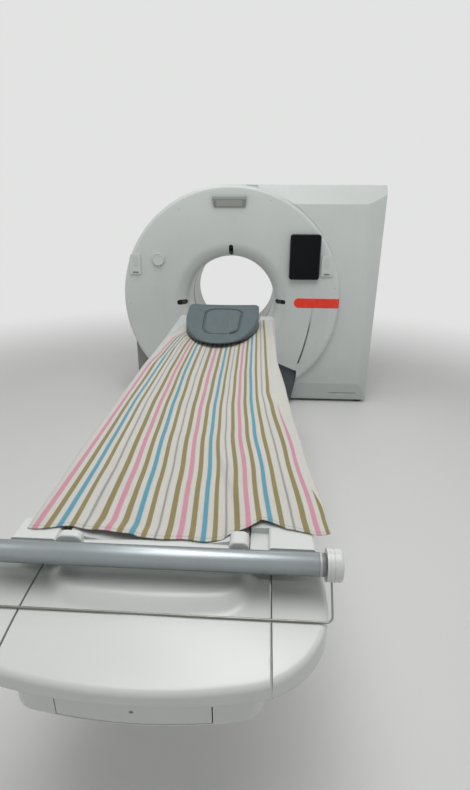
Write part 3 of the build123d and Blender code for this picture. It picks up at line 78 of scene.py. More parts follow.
def srgb(red: int, green: int, blue: int) -> Colour:
    """A display colour as linear light.

    Args:
        red: The red channel, from 0 to 255.
        green: The green one.
        blue: The blue one.

    Returns:
        The three channels, from 0 to 1.
    """

    def linear(value: int) -> float:
        """One channel."""
        share = value / 255
        return share / 12.92 if share <= 0.04045 else ((share + 0.055) / 1.055) ** 2.4

    return linear(red), linear(green), linear(blue)


def toned(colour: Colour, share: float, lift: float = 0.0) -> Colour:
    """A colour made lighter or darker by a share, and lifted, but no brighter than full."""
    return tuple(min(1.0, channel * share + lift) for channel in colour)


def blend_steps(value: float, low: float, high: float) -> float:
    """A smooth step from 0 at low to 1 at high.

    Args:
        value: The number to place between the two ends.
        low: Where the step starts.
        high: Where it ends.

    Returns:
        A number from 0 to 1.
    """
    share = min(max((value - low) / (high - low), 0.0), 1.0)
    return share * share * (3 - 2 * share)


def follow(table: Sequence[Point2], value: float) -> float:
    """Reads a smooth curve through a few (place, height) pairs, which are in order.

    Args:
        table: The pairs, by rising place.
        value: The place to read.

    Returns:
        The height there, eased between neighbours and flat beyond the ends.
    """
    if value <= table[0][0]:
        return table[0][1]
    for (x0, y0), (x1, y1) in zip(table, table[1:]):
        if value <= x1:
            share = (value - x0) / (x1 - x0)
            eased = 0.5 * share + 0.5 * share * share * (3 - 2 * share)
            return y0 + (y1 - y0) * eased
    return table[-1][1]


def polar(centre: Point2, radius: float, angle: float) -> Point2:
    """The point at a radius and an angle from a centre."""
    return centre[0] + radius * math.cos(angle), centre[1] + radius * math.sin(angle)


def quarter(count: int) -> List[float]:
    """The angles of a quarter turn cut into equal parts, both ends among them."""
    return [math.pi / 2 * step / count for step in range(count + 1)]


def draped(
    outline: Sequence[Point2], top: Callable[[float, float], float], lift: float = 0.0,
) -> List[Point3]:
    """A plan outline as points that lie on a top, over it or under it."""
    return [(x, y, top(x, y) + lift) for x, y in outline]


def arc(start: Point2, middle: Point2, end: Point2, count: int) -> List[Point2]:
    """Points along the circle through three points.

    Args:
        start: First point.
        middle: A point between the ends.
        end: Last point.
        count: The number of steps.

    Returns:
        count + 1 points, both ends among them.
    """
    (ax, ay), (bx, by), (cx, cy) = start, middle, end
    double = 2 * (ax * (by - cy) + bx * (cy - ay) + cx * (ay - by))
    if abs(double) < 1e-9:
        return [(ax + (cx - ax) * i / count, ay + (cy - ay) * i / count) for i in range(count + 1)]
    a2, b2, c2 = ax * ax + ay * ay, bx * bx + by * by, cx * cx + cy * cy
    x = (a2 * (by - cy) + b2 * (cy - ay) + c2 * (ay - by)) / double
    y = (a2 * (cx - bx) + b2 * (ax - cx) + c2 * (bx - ax)) / double
    radius = math.hypot(ax - x, ay - y)
    first = math.atan2(ay - y, ax - x)
    mid = (math.atan2(by - y, bx - x) - first) % math.tau
    last = (math.atan2(cy - y, cx - x) - first) % math.tau
    sweep = last if mid < last else last - math.tau
    return [polar((x, y), radius, first + sweep * i / count) for i in range(count + 1)]


def rounded_box(half_x: float, half_y: float, corner: float, steps: int = 8) -> List[Point2]:
    """An upright rectangle with round corners about the origin.

    Args:
        half_x: Half its width.
        half_y: Half its height.
        corner: The radius of its corners.
        steps: The segments of each corner.

    Returns:
        The closed outline, anticlockwise.
    """
    points: List[Point2] = []
    for turn, (x, y) in enumerate(((1, 1), (-1, 1), (-1, -1), (1, -1))):
        centre = (x * (half_x - corner), y * (half_y - corner))
        points += [polar(centre, corner, math.pi / 2 * turn + angle) for angle in quarter(steps)]
    return points


def inward(outline: Sequence[Point2], depth: float) -> List[Point2]:
    """A closed outline, drawn anticlockwise, moved inwards by a depth.

    Args:
        outline: The points of a convex outline.
        depth: How far each point moves.

    Returns:
        The moved points, in the same order.
    """
    count = len(outline)
    moved: List[Point2] = []
    for index, (x, y) in enumerate(outline):
        before, after = outline[index - 1], outline[(index + 1) % count]
        dx, dy = after[0] - before[0], after[1] - before[1]
        length = math.hypot(dx, dy) or 1.0
        moved.append((x - dy / length * depth, y + dx / length * depth))
    return moved


def show(name: str, data: bpy.types.ID) -> bpy.types.Object:
    """Puts data into the scene.

    Args:
        name: The object's name.
        data: Its mesh, curve, lamp or camera.

    Returns:
        The new object.
    """
    made = bpy.data.objects.new(name, data)
    bpy.context.scene.collection.objects.link(made)
    return made


def settled(held: bpy.types.Object) -> bpy.types.Mesh:
    """A plain mesh of an object as its modifiers leave it."""
    seen = held.evaluated_get(bpy.context.evaluated_depsgraph_get())
    return bpy.data.meshes.new_from_object(seen)


class Form:
    """A mesh under construction, started from a simple shape and shaped by mesh operators."""

    def __init__(self) -> None:
        """Starts with nothing."""
        self.bm = bmesh.new()

    def mesh(self, name: str) -> bpy.types.Mesh:
        """A copy of this form as a mesh.

        Args:
            name: The mesh's name.

        Returns:
            The mesh.
        """
        mesh = bpy.data.meshes.new(name)
        self.bm.to_mesh(mesh)
        return mesh

    def take(self, mesh: bpy.types.Mesh) -> "Form":
        """Puts a mesh beside what is here and removes it.

        Args:
            mesh: The mesh, which nothing else uses.

        Returns:
            This form.
        """
        self.bm.from_mesh(mesh)
        bpy.data.meshes.remove(mesh)
        return self

    @classmethod
    def block(cls, low: Point3, high: Point3) -> "Form":
        """A box between two corners.

        Args:
            low: The lowest corner.
            high: The highest corner.

        Returns:
            The box.
        """
        form = cls()
        size = Vector(high) - Vector(low)
        middle = (Vector(high) + Vector(low)) / 2
        place = Matrix.Translation(middle) @ Matrix.Diagonal((*size, 1.0))
        bmesh.ops.create_cube(form.bm, size=1.0, matrix=place)
        return form

    @classmethod
    def lathe(
        cls, profile: Sequence[Point2], centre: Point3, steps: int, axis: Point3 = (0, 1, 0),
        sweep: float = math.tau, start: float = 0.0,
    ) -> "Form":
        """A closed profile turned about an axis.

        Args:
            profile: (radius, place along the axis) pairs of a closed loop.
            centre: The point that the places are counted from.
            steps: How many parts the turn is made in.
            axis: Unit vector along the axis, +X or +Y.
            sweep: The angle turned through.
            start: The angle that it starts at.

        Returns:
            The turned form.
        """
        form = cls()
        along = Vector(axis)
        side = Vector((0, 0, 1)) if abs(along.x) > 0.5 else Vector((1, 0, 0))
        side = Matrix.Rotation(start, 3, along) @ side
        ring = [
            form.bm.verts.new(Vector(centre) + side * radius + along * place)
            for radius, place in profile
        ]
        edges = [form.bm.edges.new((ring[i - 1], ring[i])) for i in range(len(ring))]
        full = abs(sweep - math.tau) < 1e-6
        ends = [] if full else [form.bm.faces.new(ring)]
        bmesh.ops.spin(
            form.bm, geom=ring + edges, cent=centre, axis=along, angle=sweep, steps=steps,
            use_merge=full, use_duplicate=False,
        )
        if ends:
            loose = [edge for edge in form.bm.edges if len(edge.link_faces) == 1]
            bmesh.ops.contextual_create(form.bm, geom=loose)
        return form.tidy()

    @classmethod
    def stack(cls, rings: Sequence[Sequence[Point3]]) -> "Form":
        """Closed loops of equal length joined one after another, both ends capped.

        Args:
            rings: The loops, each a list of points.

        Returns:
            The closed form.
        """
        form = cls()
        bm = form.bm
        ring = [bm.verts.new(point) for point in rings[0]]
        edges = [bm.edges.new((ring[i - 1], ring[i])) for i in range(len(ring))]
        bmesh.ops.contextual_create(bm, geom=edges)
        for points in rings[1:]:
            order = {tuple(vert.co): index for index, vert in enumerate(ring)}
            made = bmesh.ops.extrude_edge_only(bm, edges=edges)["geom"]
            fresh = [item for item in made if isinstance(item, bmesh.types.BMVert)]
            fresh.sort(key=lambda vert: order[tuple(vert.co)])
            edges = [
                item for item in made
                if isinstance(item, bmesh.types.BMEdge) and len(item.link_faces) == 1
            ]
            for vert, point in zip(fresh, points):
                vert.co = point
            ring = fresh
        bmesh.ops.contextual_create(bm, geom=edges)
        return form.tidy()

    @classmethod
    def sheet(cls, across: int, along: int) -> "Form":
        """A flat grid from 0 to 1 both ways.

        Args:
            across: How many cells it has along x.
            along: How many it has along y.

        Returns:
            The grid.
        """
        form = cls()
        half = Matrix.Translation((0.5, 0.5, 0.0))
        bmesh.ops.create_grid(form.bm, x_segments=across, y_segments=along, size=0.5, matrix=half)
        return form

    @classmethod
    def of_node(cls, name: str) -> "Form":
        """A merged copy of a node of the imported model.

        Args:
            name: The node's name.

        Returns:
            The copy, its flat faces whole again.
        """
        form = cls()
        form.bm.from_mesh(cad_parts[name].data)
        bmesh.ops.remove_doubles(form.bm, verts=form.bm.verts, dist=2e-5)
        bmesh.ops.dissolve_limit(
            form.bm, angle_limit=math.radians(0.6), verts=form.bm.verts, edges=form.bm.edges,
            use_dissolve_boundaries=False, delimit={"NORMAL"},
        )
        return form

    def tidy(self) -> "Form":
        """Merges doubles and turns every face outwards.

        Returns:
            This form.
        """
        bmesh.ops.remove_doubles(self.bm, verts=self.bm.verts, dist=1e-6)
        bmesh.ops.recalc_face_normals(self.bm, faces=self.bm.faces)
        return self

    def soften(
        self, width: float, steps: int = 3, angle: float = 28.0,
        where: Optional[Callable[[Vector], bool]] = None,
    ) -> "Form":
        """Rounds the edges that are sharper than an angle.

        Args:
            width: How wide the rounding is.
            steps: Its segments.
            angle: The least angle between faces, in degrees.
            where: Says from an edge's middle whether it is rounded.

        Returns:
            The same form.
        """
        least = math.radians(angle)
        edges = [
            edge for edge in self.bm.edges
            if len(edge.link_faces) == 2 and edge.calc_face_angle(0.0) > least
            and (where is None or where((edge.verts[0].co + edge.verts[1].co) / 2))
        ]
        bmesh.ops.bevel(
            self.bm, geom=edges, offset=width, segments=steps, profile=0.5, affect="EDGES",
            clamp_overlap=True, material=-1,
        )
        return self

    def trim(self, point: Point3, normal: Point3) -> "Form":
        """Cuts off what lies on one side of a plane and closes the cut.

        Args:
            point: A point of the plane.
            normal: Its normal, which points to what is cut off.

        Returns:
            This form.
        """
        bm = self.bm
        geom = [*bm.verts, *bm.edges, *bm.faces]
        made = bmesh.ops.bisect_plane(
            bm, geom=geom, dist=1e-7, plane_co=point, plane_no=normal, clear_outer=True,
        )["geom_cut"]
        edges = [item for item in made if isinstance(item, bmesh.types.BMEdge)]
        if edges:
            bmesh.ops.triangle_fill(bm, use_beauty=True, edges=edges, normal=normal)
            bmesh.ops.recalc_face_normals(bm, faces=bm.faces)
        return self

    def _merge(self, tool: "Form", operation: str) -> "Form":
        """Carves this form with a tool and drops the tool.

        Args:
            tool: The other form.
            operation: DIFFERENCE to take it away, INTERSECT to keep what both share.

        Returns:
            This form.
        """
        target, other = show("carved", self.mesh("carved")), show("tool", tool.mesh("tool"))
        step = target.modifiers.new("carve", "BOOLEAN")
        step.operation = operation
        step.solver = "EXACT"
        step.object = other
        result = settled(target)
        self.bm.clear()
        self.take(result)
        for held in (target, other):
            mesh = held.data
            bpy.data.objects.remove(held)
            bpy.data.meshes.remove(mesh)
        tool.bm.free()
        return self

    def cut(self, tool: "Form") -> "Form":
        """Takes the tool's volume away."""
        return self._merge(tool, "DIFFERENCE")

    def common(self, tool: "Form") -> "Form":
        """Keeps only what lies inside the tool."""
        return self._merge(tool, "INTERSECT")

    def add(self, other: "Form") -> "Form":
        """Puts another form beside what is here and drops the other.

        Args:
            other: The form that is added.

        Returns:
            This form.
        """
        self.take(other.mesh("joined"))
        other.bm.free()
        return self

    def mirrored(self) -> "Form":
        """Adds its mirror image across the middle plane.

        Returns:
            This form.
        """
        geom = [*self.bm.verts, *self.bm.edges, *self.bm.faces]
        made = bmesh.ops.duplicate(self.bm, geom=geom)["geom"]
        verts = [item for item in made if isinstance(item, bmesh.types.BMVert)]
        faces = [item for item in made if isinstance(item, bmesh.types.BMFace)]
        bmesh.ops.scale(self.bm, vec=(-1, 1, 1), verts=verts)
        bmesh.ops.reverse_faces(self.bm, faces=faces)
        return self

    def bend(self, move: Callable[[Vector], Vector]) -> "Form":
        """Moves every point by a rule.

        Args:
            move: Gives a point's new place.

        Returns:
            This form.
        """
        for vert in self.bm.verts:
            vert.co = move(vert.co.copy())
        return self

    def shifted(self, x: float, y: float = 0.0) -> "Form":
        """This form, moved sideways and along."""
        return self.bend(lambda p: Vector((p.x + x, p.y + y, p.z)))

    def piece(
        self, name: str, body: Body, finish: "Finish", replaces: Sequence[str] = (),
        crease: float = 32.0, even: bool = True,
    ) -> bpy.types.Object:
        """Makes the finished object and ends this form.

        Args:
            name: The piece's name.
            body: What it rides on.
            finish: Its finish.
            replaces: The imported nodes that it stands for.
            crease: Faces that meet at more than this angle, in degrees, keep a hard edge.
            even: Whether flat faces keep flat shading beside rounded edges.

        Returns:
            The object.
        """
        mesh = self.mesh(name)
        self.bm.free()
        mesh.shade_smooth()
        mesh.set_sharp_from_angle(angle=math.radians(crease))
        mesh.materials.append(finish.material())
        made = show(name, mesh)
        if even:
            made.modifiers.new("even shading", "WEIGHTED_NORMAL").keep_sharp = True
        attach(made, body.value)
        if replaces:
            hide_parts(*replaces)
        LOG.info("%s: %d faces", name, len(mesh.polygons))
        return made


def _sum(operation: str, swapped: bool = False) -> Callable[["Wire", "Value"], "Wire"]:
    """Makes a method that puts a wire and one more value through a Math node.

    Args:
        operation: The node's operation.
        swapped: Whether the wire is the node's second value.

    Returns:
        The method.
    """

    def method(wire: "Wire", other: "Value") -> "Wire":
        """The node's result."""
        return wire.maths(operation, *((other, wire) if swapped else (wire, other)))

    return method


class Wire:
    """An output socket of a material that works in arithmetic."""

    def __init__(self, nodes: "Nodes", socket: bpy.types.NodeSocket) -> None:
        """Wraps a socket.

        Args:
            nodes: The material that it belongs to.
            socket: The output socket.
        """
        self.nodes = nodes
        self.socket = socket

    def maths(self, operation: str, *values: "Value") -> "Wire":
        """One Math node on these values."""
        return self.nodes.node("ShaderNodeMath", {"operation": operation}, dict(enumerate(values)))

    __add__, __radd__ = _sum("ADD"), _sum("ADD", True)
    __sub__, __rsub__ = _sum("SUBTRACT"), _sum("SUBTRACT", True)
    __mul__, __pow__ = _sum("MULTIPLY"), _sum("POWER")
    __mod__, __gt__ = _sum("FLOORED_MODULO"), _sum("GREATER_THAN")
    most = _sum("MAXIMUM")

    def size(self) -> "Wire":
        """Its value without the sign."""
        return self.maths("ABSOLUTE", self)

    def sine(self) -> "Wire":
        """Its sine."""
        return self.maths("SINE", self)

    def step(self, low: float, high: float) -> "Wire":
        """A smooth step from 0 at low to 1 at high.

        Args:
            low: Where the step starts.
            high: Where it ends.

        Returns:
            The step's height.
        """
        return self.nodes.node(
            "ShaderNodeMapRange", {"interpolation_type": "SMOOTHSTEP"}, {0: self, 1: low, 2: high},
        )


Value = Union[Wire, float, Sequence[float]]


class Nodes:
    """The node tree of a material or of the world."""

    def __init__(self, made: Union[bpy.types.Material, bpy.types.World]) -> None:
        """Empties the tree.

        Args:
            made: What the tree belongs to.
        """
        self.made = made
        made.use_nodes = True
        self.tree = made.node_tree
        self.tree.nodes.clear()

    def node(
        self, kind: str, settings: Optional[Dict[str, object]] = None,
        values: Optional[Dict[Union[int, str], Value]] = None, out: Union[int, str] = 0,
    ) -> Wire:
        """Adds a node.

        Args:
            kind: The node's type.
            settings: Its own options, which are set first.
            values: What its input sockets hold or are linked to.
            out: The output socket to hand on.

        Returns:
            That output socket.
        """
        made = self.tree.nodes.new(kind)
        for key, value in (settings or {}).items():
            setattr(made, key, value)
        for key, value in (values or {}).items():
            socket = made.inputs[key]
            if isinstance(value, Wire):
                self.tree.links.new(value.socket, socket)
            elif isinstance(value, tuple) and len(socket.default_value) == 4:
                socket.default_value = (*value, 1.0)
            else:
                socket.default_value = value
        return Wire(self, made.outputs[out])

    def place(self) -> Wire:
        """The point on the piece, in metres."""
        return self.node("ShaderNodeTexCoord", out="Object")

    def cut(self) -> Wire:
        """The point on the flat cloth, in metres."""
        return self.node("ShaderNodeUVMap", {"uv_map": "cut"})

    def parts(self, vector: Wire) -> Tuple[Wire, Wire, Wire]:
        """Takes a vector apart.

        Args:
            vector: The vector.

        Returns:
            Its three numbers.
        """
        first = self.node("ShaderNodeSeparateXYZ", values={0: vector})
        outputs = first.socket.node.outputs
        return first, Wire(self, outputs[1]), Wire(self, outputs[2])

    def scaled(self, vector: Wire, by: Point3) -> Wire:
        """A vector stretched along each axis."""
        return self.node("ShaderNodeVectorMath", {"operation": "MULTIPLY"}, {0: vector, 1: by})

    def noise(self, vector: Wire, scale: float, detail: float = 2.0, rough: float = 0.5) -> Wire:
        """Soft noise from about 0.25 to 0.75."""
        values = {"Vector": vector, "Scale": scale, "Detail": detail, "Roughness": rough}
        return self.node("ShaderNodeTexNoise", values=values)

    def cells(self, vector: Wire, scale: float, feature: str = "F1") -> Wire:
        """Distance to scattered cell points."""
        values = {"Vector": vector, "Scale": scale}
        return self.node("ShaderNodeTexVoronoi", {"feature": feature}, values)

    def mix(self, share: Value, first: Value, second: Value) -> Wire:
        """The first colour where share is 0 and the second where it is 1."""
        values = {0: share, 6: first, 7: second}
        return self.node("ShaderNodeMix", {"data_type": "RGBA"}, values, out=2)

    def bump(self, height: Wire, distance: float, strength: float = 1.0) -> Wire:
        """A surface normal from a height of that many metres."""
        values = {"Height": height, "Distance": distance, "Strength": strength}
        return self.node("ShaderNodeBump", values=values)

    def end(self, shader: Wire, kind: str = "Material") -> None:
        """Links a shader to the output."""
        made = self.tree.nodes.new("ShaderNodeOutput" + kind)
        self.tree.links.new(shader.socket, made.inputs["Surface"])

    def shade(self, values: Dict[str, Value]) -> bpy.types.Material:
        """Ends the material with one shader.

        Args:
            values: What the shader's sockets hold or are linked to.

        Returns:
            The material.
        """
        self.end(self.node("ShaderNodeBsdfPrincipled", values=values))
        return self.made


@dataclass(frozen=True)
class Finish:
    """A surface finish; each kind knows how to make its own material.

    Attributes:
        name: The material's name.
        slot: The record's material slot that it stands for; not used.
    """

    name: str
    slot: str = "cover_white"

    def material(self) -> bpy.types.Material:
        """The finish's material, made once."""
        known = bpy.data.materials
        return known.get(self.name) or self.paint(Nodes(known.new(self.name)))

    def paint(self, nodes: Nodes) -> bpy.types.Material:
        """Fills the material's nodes; each kind of finish has its own recipe."""
        raise NotImplementedError


@dataclass(frozen=True)
class Moulding(Finish):
    """Moulded plastic cover: soft clouding, fine grain, rubbed patches, and darker towards the
    bottom.
    """

    colour: Colour = srgb(203, 208, 206)
    warm: Colour = srgb(194, 199, 196)
    rough: float = 0.36
    # How strongly the cover is darker towards the bottom and shows streaks and scuffs.
    dust: float = 0.35
    coat: float = 0.12
    gloss: float = 0.5

    def paint(self, nodes: Nodes) -> bpy.types.Material:
        """Fills the nodes.

        Args:
            nodes: The empty material.

        Returns:
            The material.
        """
        place = nodes.place()
        _, _, height = nodes.parts(place)
        cloud = nodes.noise(place, 1.6, 3.0).step(0.3, 0.7)
        patch = nodes.noise(place, 6.5, 5.0, 0.62)
        rubbed = patch.step(0.54, 0.72)
        grain = nodes.noise(place, 1300.0, 1.0)
        peel = nodes.noise(place, 210.0, 2.0)
        # Darker towards the bottom, below 0.62 m.
        low = (0.62 - height).step(0.0, 0.62)
        streak = nodes.noise(nodes.scaled(place, (26.0, 26.0, 1.4)), 1.0, 4.0, 0.6).step(0.5, 0.78)
        scuff = nodes.noise(nodes.scaled(place, (3.0, 40.0, 55.0)), 2.0, 5.0, 0.7).step(0.63, 0.72)
        tone = nodes.mix(cloud * 0.55, self.colour, self.warm)
        dark = toned(self.warm, 0.52)
        low_darkening_and_marks = (low * (0.25 + patch) + streak * 0.1 + scuff * 0.16) * self.dust
        colour = nodes.mix(low_darkening_and_marks, tone, dark)
        rough = self.rough + rubbed * 0.09 - scuff * 0.05 + low * 0.1 + grain * 0.05
        relief = nodes.bump(grain * 0.35 + peel * 0.65, 0.00016)
        return nodes.shade({
            "Base Color": colour, "Roughness": rough, "Normal": relief, "Coat Weight": self.coat,
            "Coat Roughness": 0.22, "Specular IOR Level": self.gloss,
        })


@dataclass(frozen=True)
class Coated(Finish):
    """Powder-coated metal: fine speckle and pebbled skin."""

    colour: Colour = srgb(150, 153, 156)
    rough: float = 0.52
    speckle: float = 0.25

    def paint(self, nodes: Nodes) -> bpy.types.Material:
        """Fills the nodes.

        Args:
            nodes: The empty material.

        Returns:
            The material.
        """
        place = nodes.place()
        pebble = nodes.noise(place, 900.0, 2.0)
        fleck = nodes.noise(place, 2400.0, 1.0).step(0.55, 0.7)
        patch = nodes.noise(place, 5.0, 5.0, 0.6)
        worn = nodes.noise(place, 38.0, 6.0, 0.7).step(0.62, 0.74)
        light = toned(self.colour, 1.5, 0.02)
        dark = toned(self.colour, 0.6)
        colour = nodes.mix(fleck * self.speckle, self.colour, light)
        colour = nodes.mix((patch - 0.3) * 0.5 + worn * 0.25, colour, dark)
        return nodes.shade({
            "Base Color": colour,
            "Roughness": self.rough + pebble * 0.16 - worn * 0.1,
            "Normal": nodes.bump(pebble, 0.00022),
        })


@dataclass(frozen=True)
class Metal(Finish):
    """Bare metal with drawn or ground lines and a few dull spots."""

    colour: Colour = srgb(196, 199, 201)
    rough: float = 0.28
    grain: Grain = Grain.NONE
    dull: float = 0.2

    def paint(self, nodes: Nodes) -> bpy.types.Material:
        """Fills the nodes.

        Args:
            nodes: The empty material.

        Returns:
            The material.
        """
        place = nodes.place()
        lines = nodes.noise(nodes.scaled(place, self.grain.value), 1.0, 3.0, 0.6)
        patch = nodes.noise(place, 14.0, 5.0, 0.62)
        spot = nodes.noise(place, 90.0, 4.0, 0.7).step(0.62, 0.73)
        dark = toned(self.colour, 0.62)
        colour = nodes.mix(patch.step(0.4, 0.75) * self.dull + spot * self.dull, self.colour, dark)
        rough = self.rough + (lines - 0.5) * 0.22 + patch * 0.1 + spot * 0.12
        return nodes.shade({
            "Base Color": colour, "Metallic": 1.0, "Roughness": rough,
            "Normal": nodes.bump(lines, 0.00004),
        })


@dataclass(frozen=True)
class Striped(Finish):
    """Woven cotton sheet with coloured warp stripes, a stitched hem and soft creases."""

    cream: Colour = srgb(206, 205, 199)
    olive: Colour = srgb(132, 118, 58)
    blue: Colour = srgb(46, 150, 176)
    pink: Colour = srgb(204, 128, 154)
    lilac: Colour = srgb(132, 128, 136)
    plain_from: float = 0.700
    plain_to: float = -0.078
    period: float = 0.180

    def paint(self, nodes: Nodes) -> bpy.types.Material:
        """Fills the nodes: the stripes follow the cloth's own metre map.

        Args:
            nodes: The empty material.

        Returns:
            The material.
        """
        cut = nodes.cut()
        across, along, _ = nodes.parts(cut)
        fray = nodes.noise(nodes.scaled(cut, (900.0, 160.0, 1.0)), 1.0, 2.0) - 0.5
        drift = nodes.noise(nodes.scaled(cut, (0.0, 5.0, 1.0)), 1.0, 2.0) - 0.5
        place = across + fray * 0.0016 + drift * 0.002
        phase = (place + 3 * self.period) % self.period
        rest = along.step(0.10, 0.34) * 0.026 + along.step(0.40, 1.20) * 0.032
        keep = (1 - (place + rest > self.plain_from)) * (place > self.plain_to)

        def band(middle: float, width: float) -> Wire:
            """1 inside one stripe of the repeat, with a soft edge."""
            away = ((phase - middle + self.period * 1.5) % self.period - self.period / 2).size()
            return 1 - away.step(width / 2 - 0.0012, width / 2 + 0.0012)

        pitch = self.period / 6
        olive = band(pitch, 0.0135) + band(3 * pitch, 0.0155) + band(5 * pitch, 0.0150)
        thread_x = (across * (math.tau / 0.0011)).sine()
        thread_y = (along * (math.tau / 0.0013)).sine()
        rib = (across * (math.tau / 0.0042)).sine()
        weave = thread_x * thread_y * 0.5 + 0.5
        slub = nodes.noise(nodes.scaled(cut, (700.0, 12.0, 1.0)), 1.0, 3.0, 0.6)
        soft = nodes.noise(nodes.scaled(cut, (9.0, 3.0, 1.0)), 1.0, 4.0, 0.6)
        worn = nodes.noise(cut, 420.0, 3.0, 0.6)
        colour = nodes.mix(soft.step(0.4, 0.7) * 0.45, self.cream, srgb(200, 197, 187))
        strength = keep * (0.95 + (worn - 0.5) * 0.4)
        colour = nodes.mix(olive * strength, colour, self.olive)
        colour = nodes.mix(band(0.0, 0.0135) * strength, colour, self.blue)
        colour = nodes.mix(band(4 * pitch, 0.0150) * strength * 0.92, colour, self.pink)
        colour = nodes.mix(band(2 * pitch, 0.0060) * strength * 0.8, colour, self.lilac)
        halo = band(2 * pitch, 0.0120) + band(0.0, 0.0190)
        colour = nodes.mix(halo * strength * 0.12, colour, self.lilac)
        colour = nodes.mix(weave * 0.12 + (slub - 0.4).most(0.0) * 0.5, colour, srgb(150, 146, 135))
        hem = 1 - (along - 0.016).size().step(0.0006, 0.0014)
        stitch = ((along * 0.0 + across) * (math.tau / 0.005)).sine().step(-0.2, 0.4)
        colour = nodes.mix(hem * (0.35 + stitch * 0.4), colour, srgb(112, 98, 84))
        fold = along.step(0.0135, 0.0165)
        relief = weave * 0.35 + rib * 0.2 + slub * 0.8 + fold * -1.5 + hem * -1.2
        return nodes.shade({
            "Base Color": colour, "Roughness": 0.86 + (weave - 0.5) * 0.06,
            "Specular IOR Level": 0.25, "Sheen Weight": 0.22, "Sheen Roughness": 0.5,
            "Normal": nodes.bump(relief, 0.00035),
        })


@dataclass(frozen=True)
class SkinFoam(Finish):
    """Grey foam with its own tough skin: leathery pores and lighter patches."""

    colour: Colour = srgb(88, 101, 104)
    rough: float = 0.58

    def paint(self, nodes: Nodes) -> bpy.types.Material:
        """Fills the nodes.

        Args:
            nodes: The empty material.

        Returns:
            The material.
        """
        place = nodes.place()
        pores = nodes.cells(place, 620.0)
        skin = nodes.noise(place, 260.0, 3.0)
        patch = nodes.noise(place, 11.0, 5.0, 0.6).step(0.35, 0.75)
        light = toned(self.colour, 1.28)
        dark = toned(self.colour, 0.72)
        colour = nodes.mix(patch * 0.45, self.colour, light)
        colour = nodes.mix(pores.step(0.25, 0.0) * 0.18, colour, dark)
        return nodes.shade({
            "Base Color": colour, "Roughness": self.rough + skin * 0.18 - patch * 0.06,
            "Specular IOR Level": 0.4, "Normal": nodes.bump(pores * 0.6 + skin * 0.7, 0.00028),
        })


@dataclass(frozen=True)
class PadCloth(Finish):
    """Coated knit over the head pad: a bluish grey with a dotted emboss."""

    colour: Colour = srgb(84, 97, 101)

    def paint(self, nodes: Nodes) -> bpy.types.Material:
        """Fills the nodes.

        Args:
            nodes: The empty material.

        Returns:
            The material.
        """
        place = nodes.place()
        dots = nodes.cells(nodes.scaled(place, (1.0, 1.0, 0.4)), 330.0)
        patch = nodes.noise(place, 19.0, 4.0, 0.6)
        fine = nodes.noise(place, 1500.0, 2.0)
        light = toned(self.colour, 1.35)
        colour = nodes.mix(patch.step(0.35, 0.7) * 0.5, self.colour, light)
        colour = nodes.mix(dots.step(0.3, 0.55) * 0.2, colour, srgb(66, 77, 85))
        return nodes.shade({
            "Base Color": colour, "Roughness": 0.62 + (patch - 0.5) * 0.2,
            "Sheen Weight": 0.15, "Normal": nodes.bump(1 - dots + fine * 0.3, 0.0003),
        })


@dataclass(frozen=True)
class Film(Finish):
    """Printed plastic film stuck on a cover, bare of any words."""

    colour: Colour = srgb(236, 52, 28)

    def paint(self, nodes: Nodes) -> bpy.types.Material:
        """Fills the nodes.

        Args:
            nodes: The empty material.

        Returns:
            The material.
        """
        place = nodes.place()
        patch = nodes.noise(place, 16.0, 4.0, 0.6)
        fine = nodes.noise(place, 1100.0, 2.0)
        pale = toned(self.colour, 1.15, 0.02)
        return nodes.shade({
            "Base Color": nodes.mix(patch.step(0.35, 0.7) * 0.5, self.colour, pale),
            "Roughness": 0.34 + patch * 0.12, "Normal": nodes.bump(fine, 0.00005),
        })


@dataclass(frozen=True)
class DarkGlass(Finish):
    """Black glass or polished dark lens with finger marks and dust."""

    colour: Colour = srgb(16, 19, 23)
    rough: float = 0.1
    marks: float = 0.3
    gloss: float = 0.5
    coat: float = 0.3

    def paint(self, nodes: Nodes) -> bpy.types.Material:
        """Fills the nodes.

        Args:
            nodes: The empty material.

        Returns:
            The material.
        """
        place = nodes.place()
        wiped = nodes.scaled(place, (14.0, 14.0, 30.0))
        smear = nodes.noise(wiped, 1.0, 5.0, 0.65).step(0.48, 0.72)
        dust = nodes.noise(place, 1700.0, 2.0).step(0.66, 0.72)
        film = nodes.noise(place, 5.0, 3.0)
        lifted = toned(self.colour, 1.0, 0.03)
        colour = nodes.mix(dust * 0.5 + film * 0.25, self.colour, lifted)
        return nodes.shade({
            "Base Color": colour, "Roughness": self.rough + smear * self.marks + dust * 0.2,
            "Specular IOR Level": self.gloss, "Coat Weight": self.coat, "Coat Roughness": 0.05,
        })


@dataclass(frozen=True)
class Rubber(Finish):
    """Dark rubber or cast plastic: matt, a little dusty."""

    colour: Colour = srgb(46, 47, 50)
    rough: float = 0.7

    def paint(self, nodes: Nodes) -> bpy.types.Material:
        """Fills the nodes.

        Args:
            nodes: The empty material.

        Returns:
            The material.
        """
        place = nodes.place()
        patch = nodes.noise(place, 9.0, 5.0, 0.65)
        grain = nodes.noise(place, 800.0, 2.0)
        dusty = toned(self.colour, 1.8, 0.02)
        return nodes.shade({
            "Base Color": nodes.mix(patch.step(0.42, 0.8) * 0.5, self.colour, dusty),
            "Roughness": self.rough + grain * 0.15, "Normal": nodes.bump(grain, 0.0002),
        })


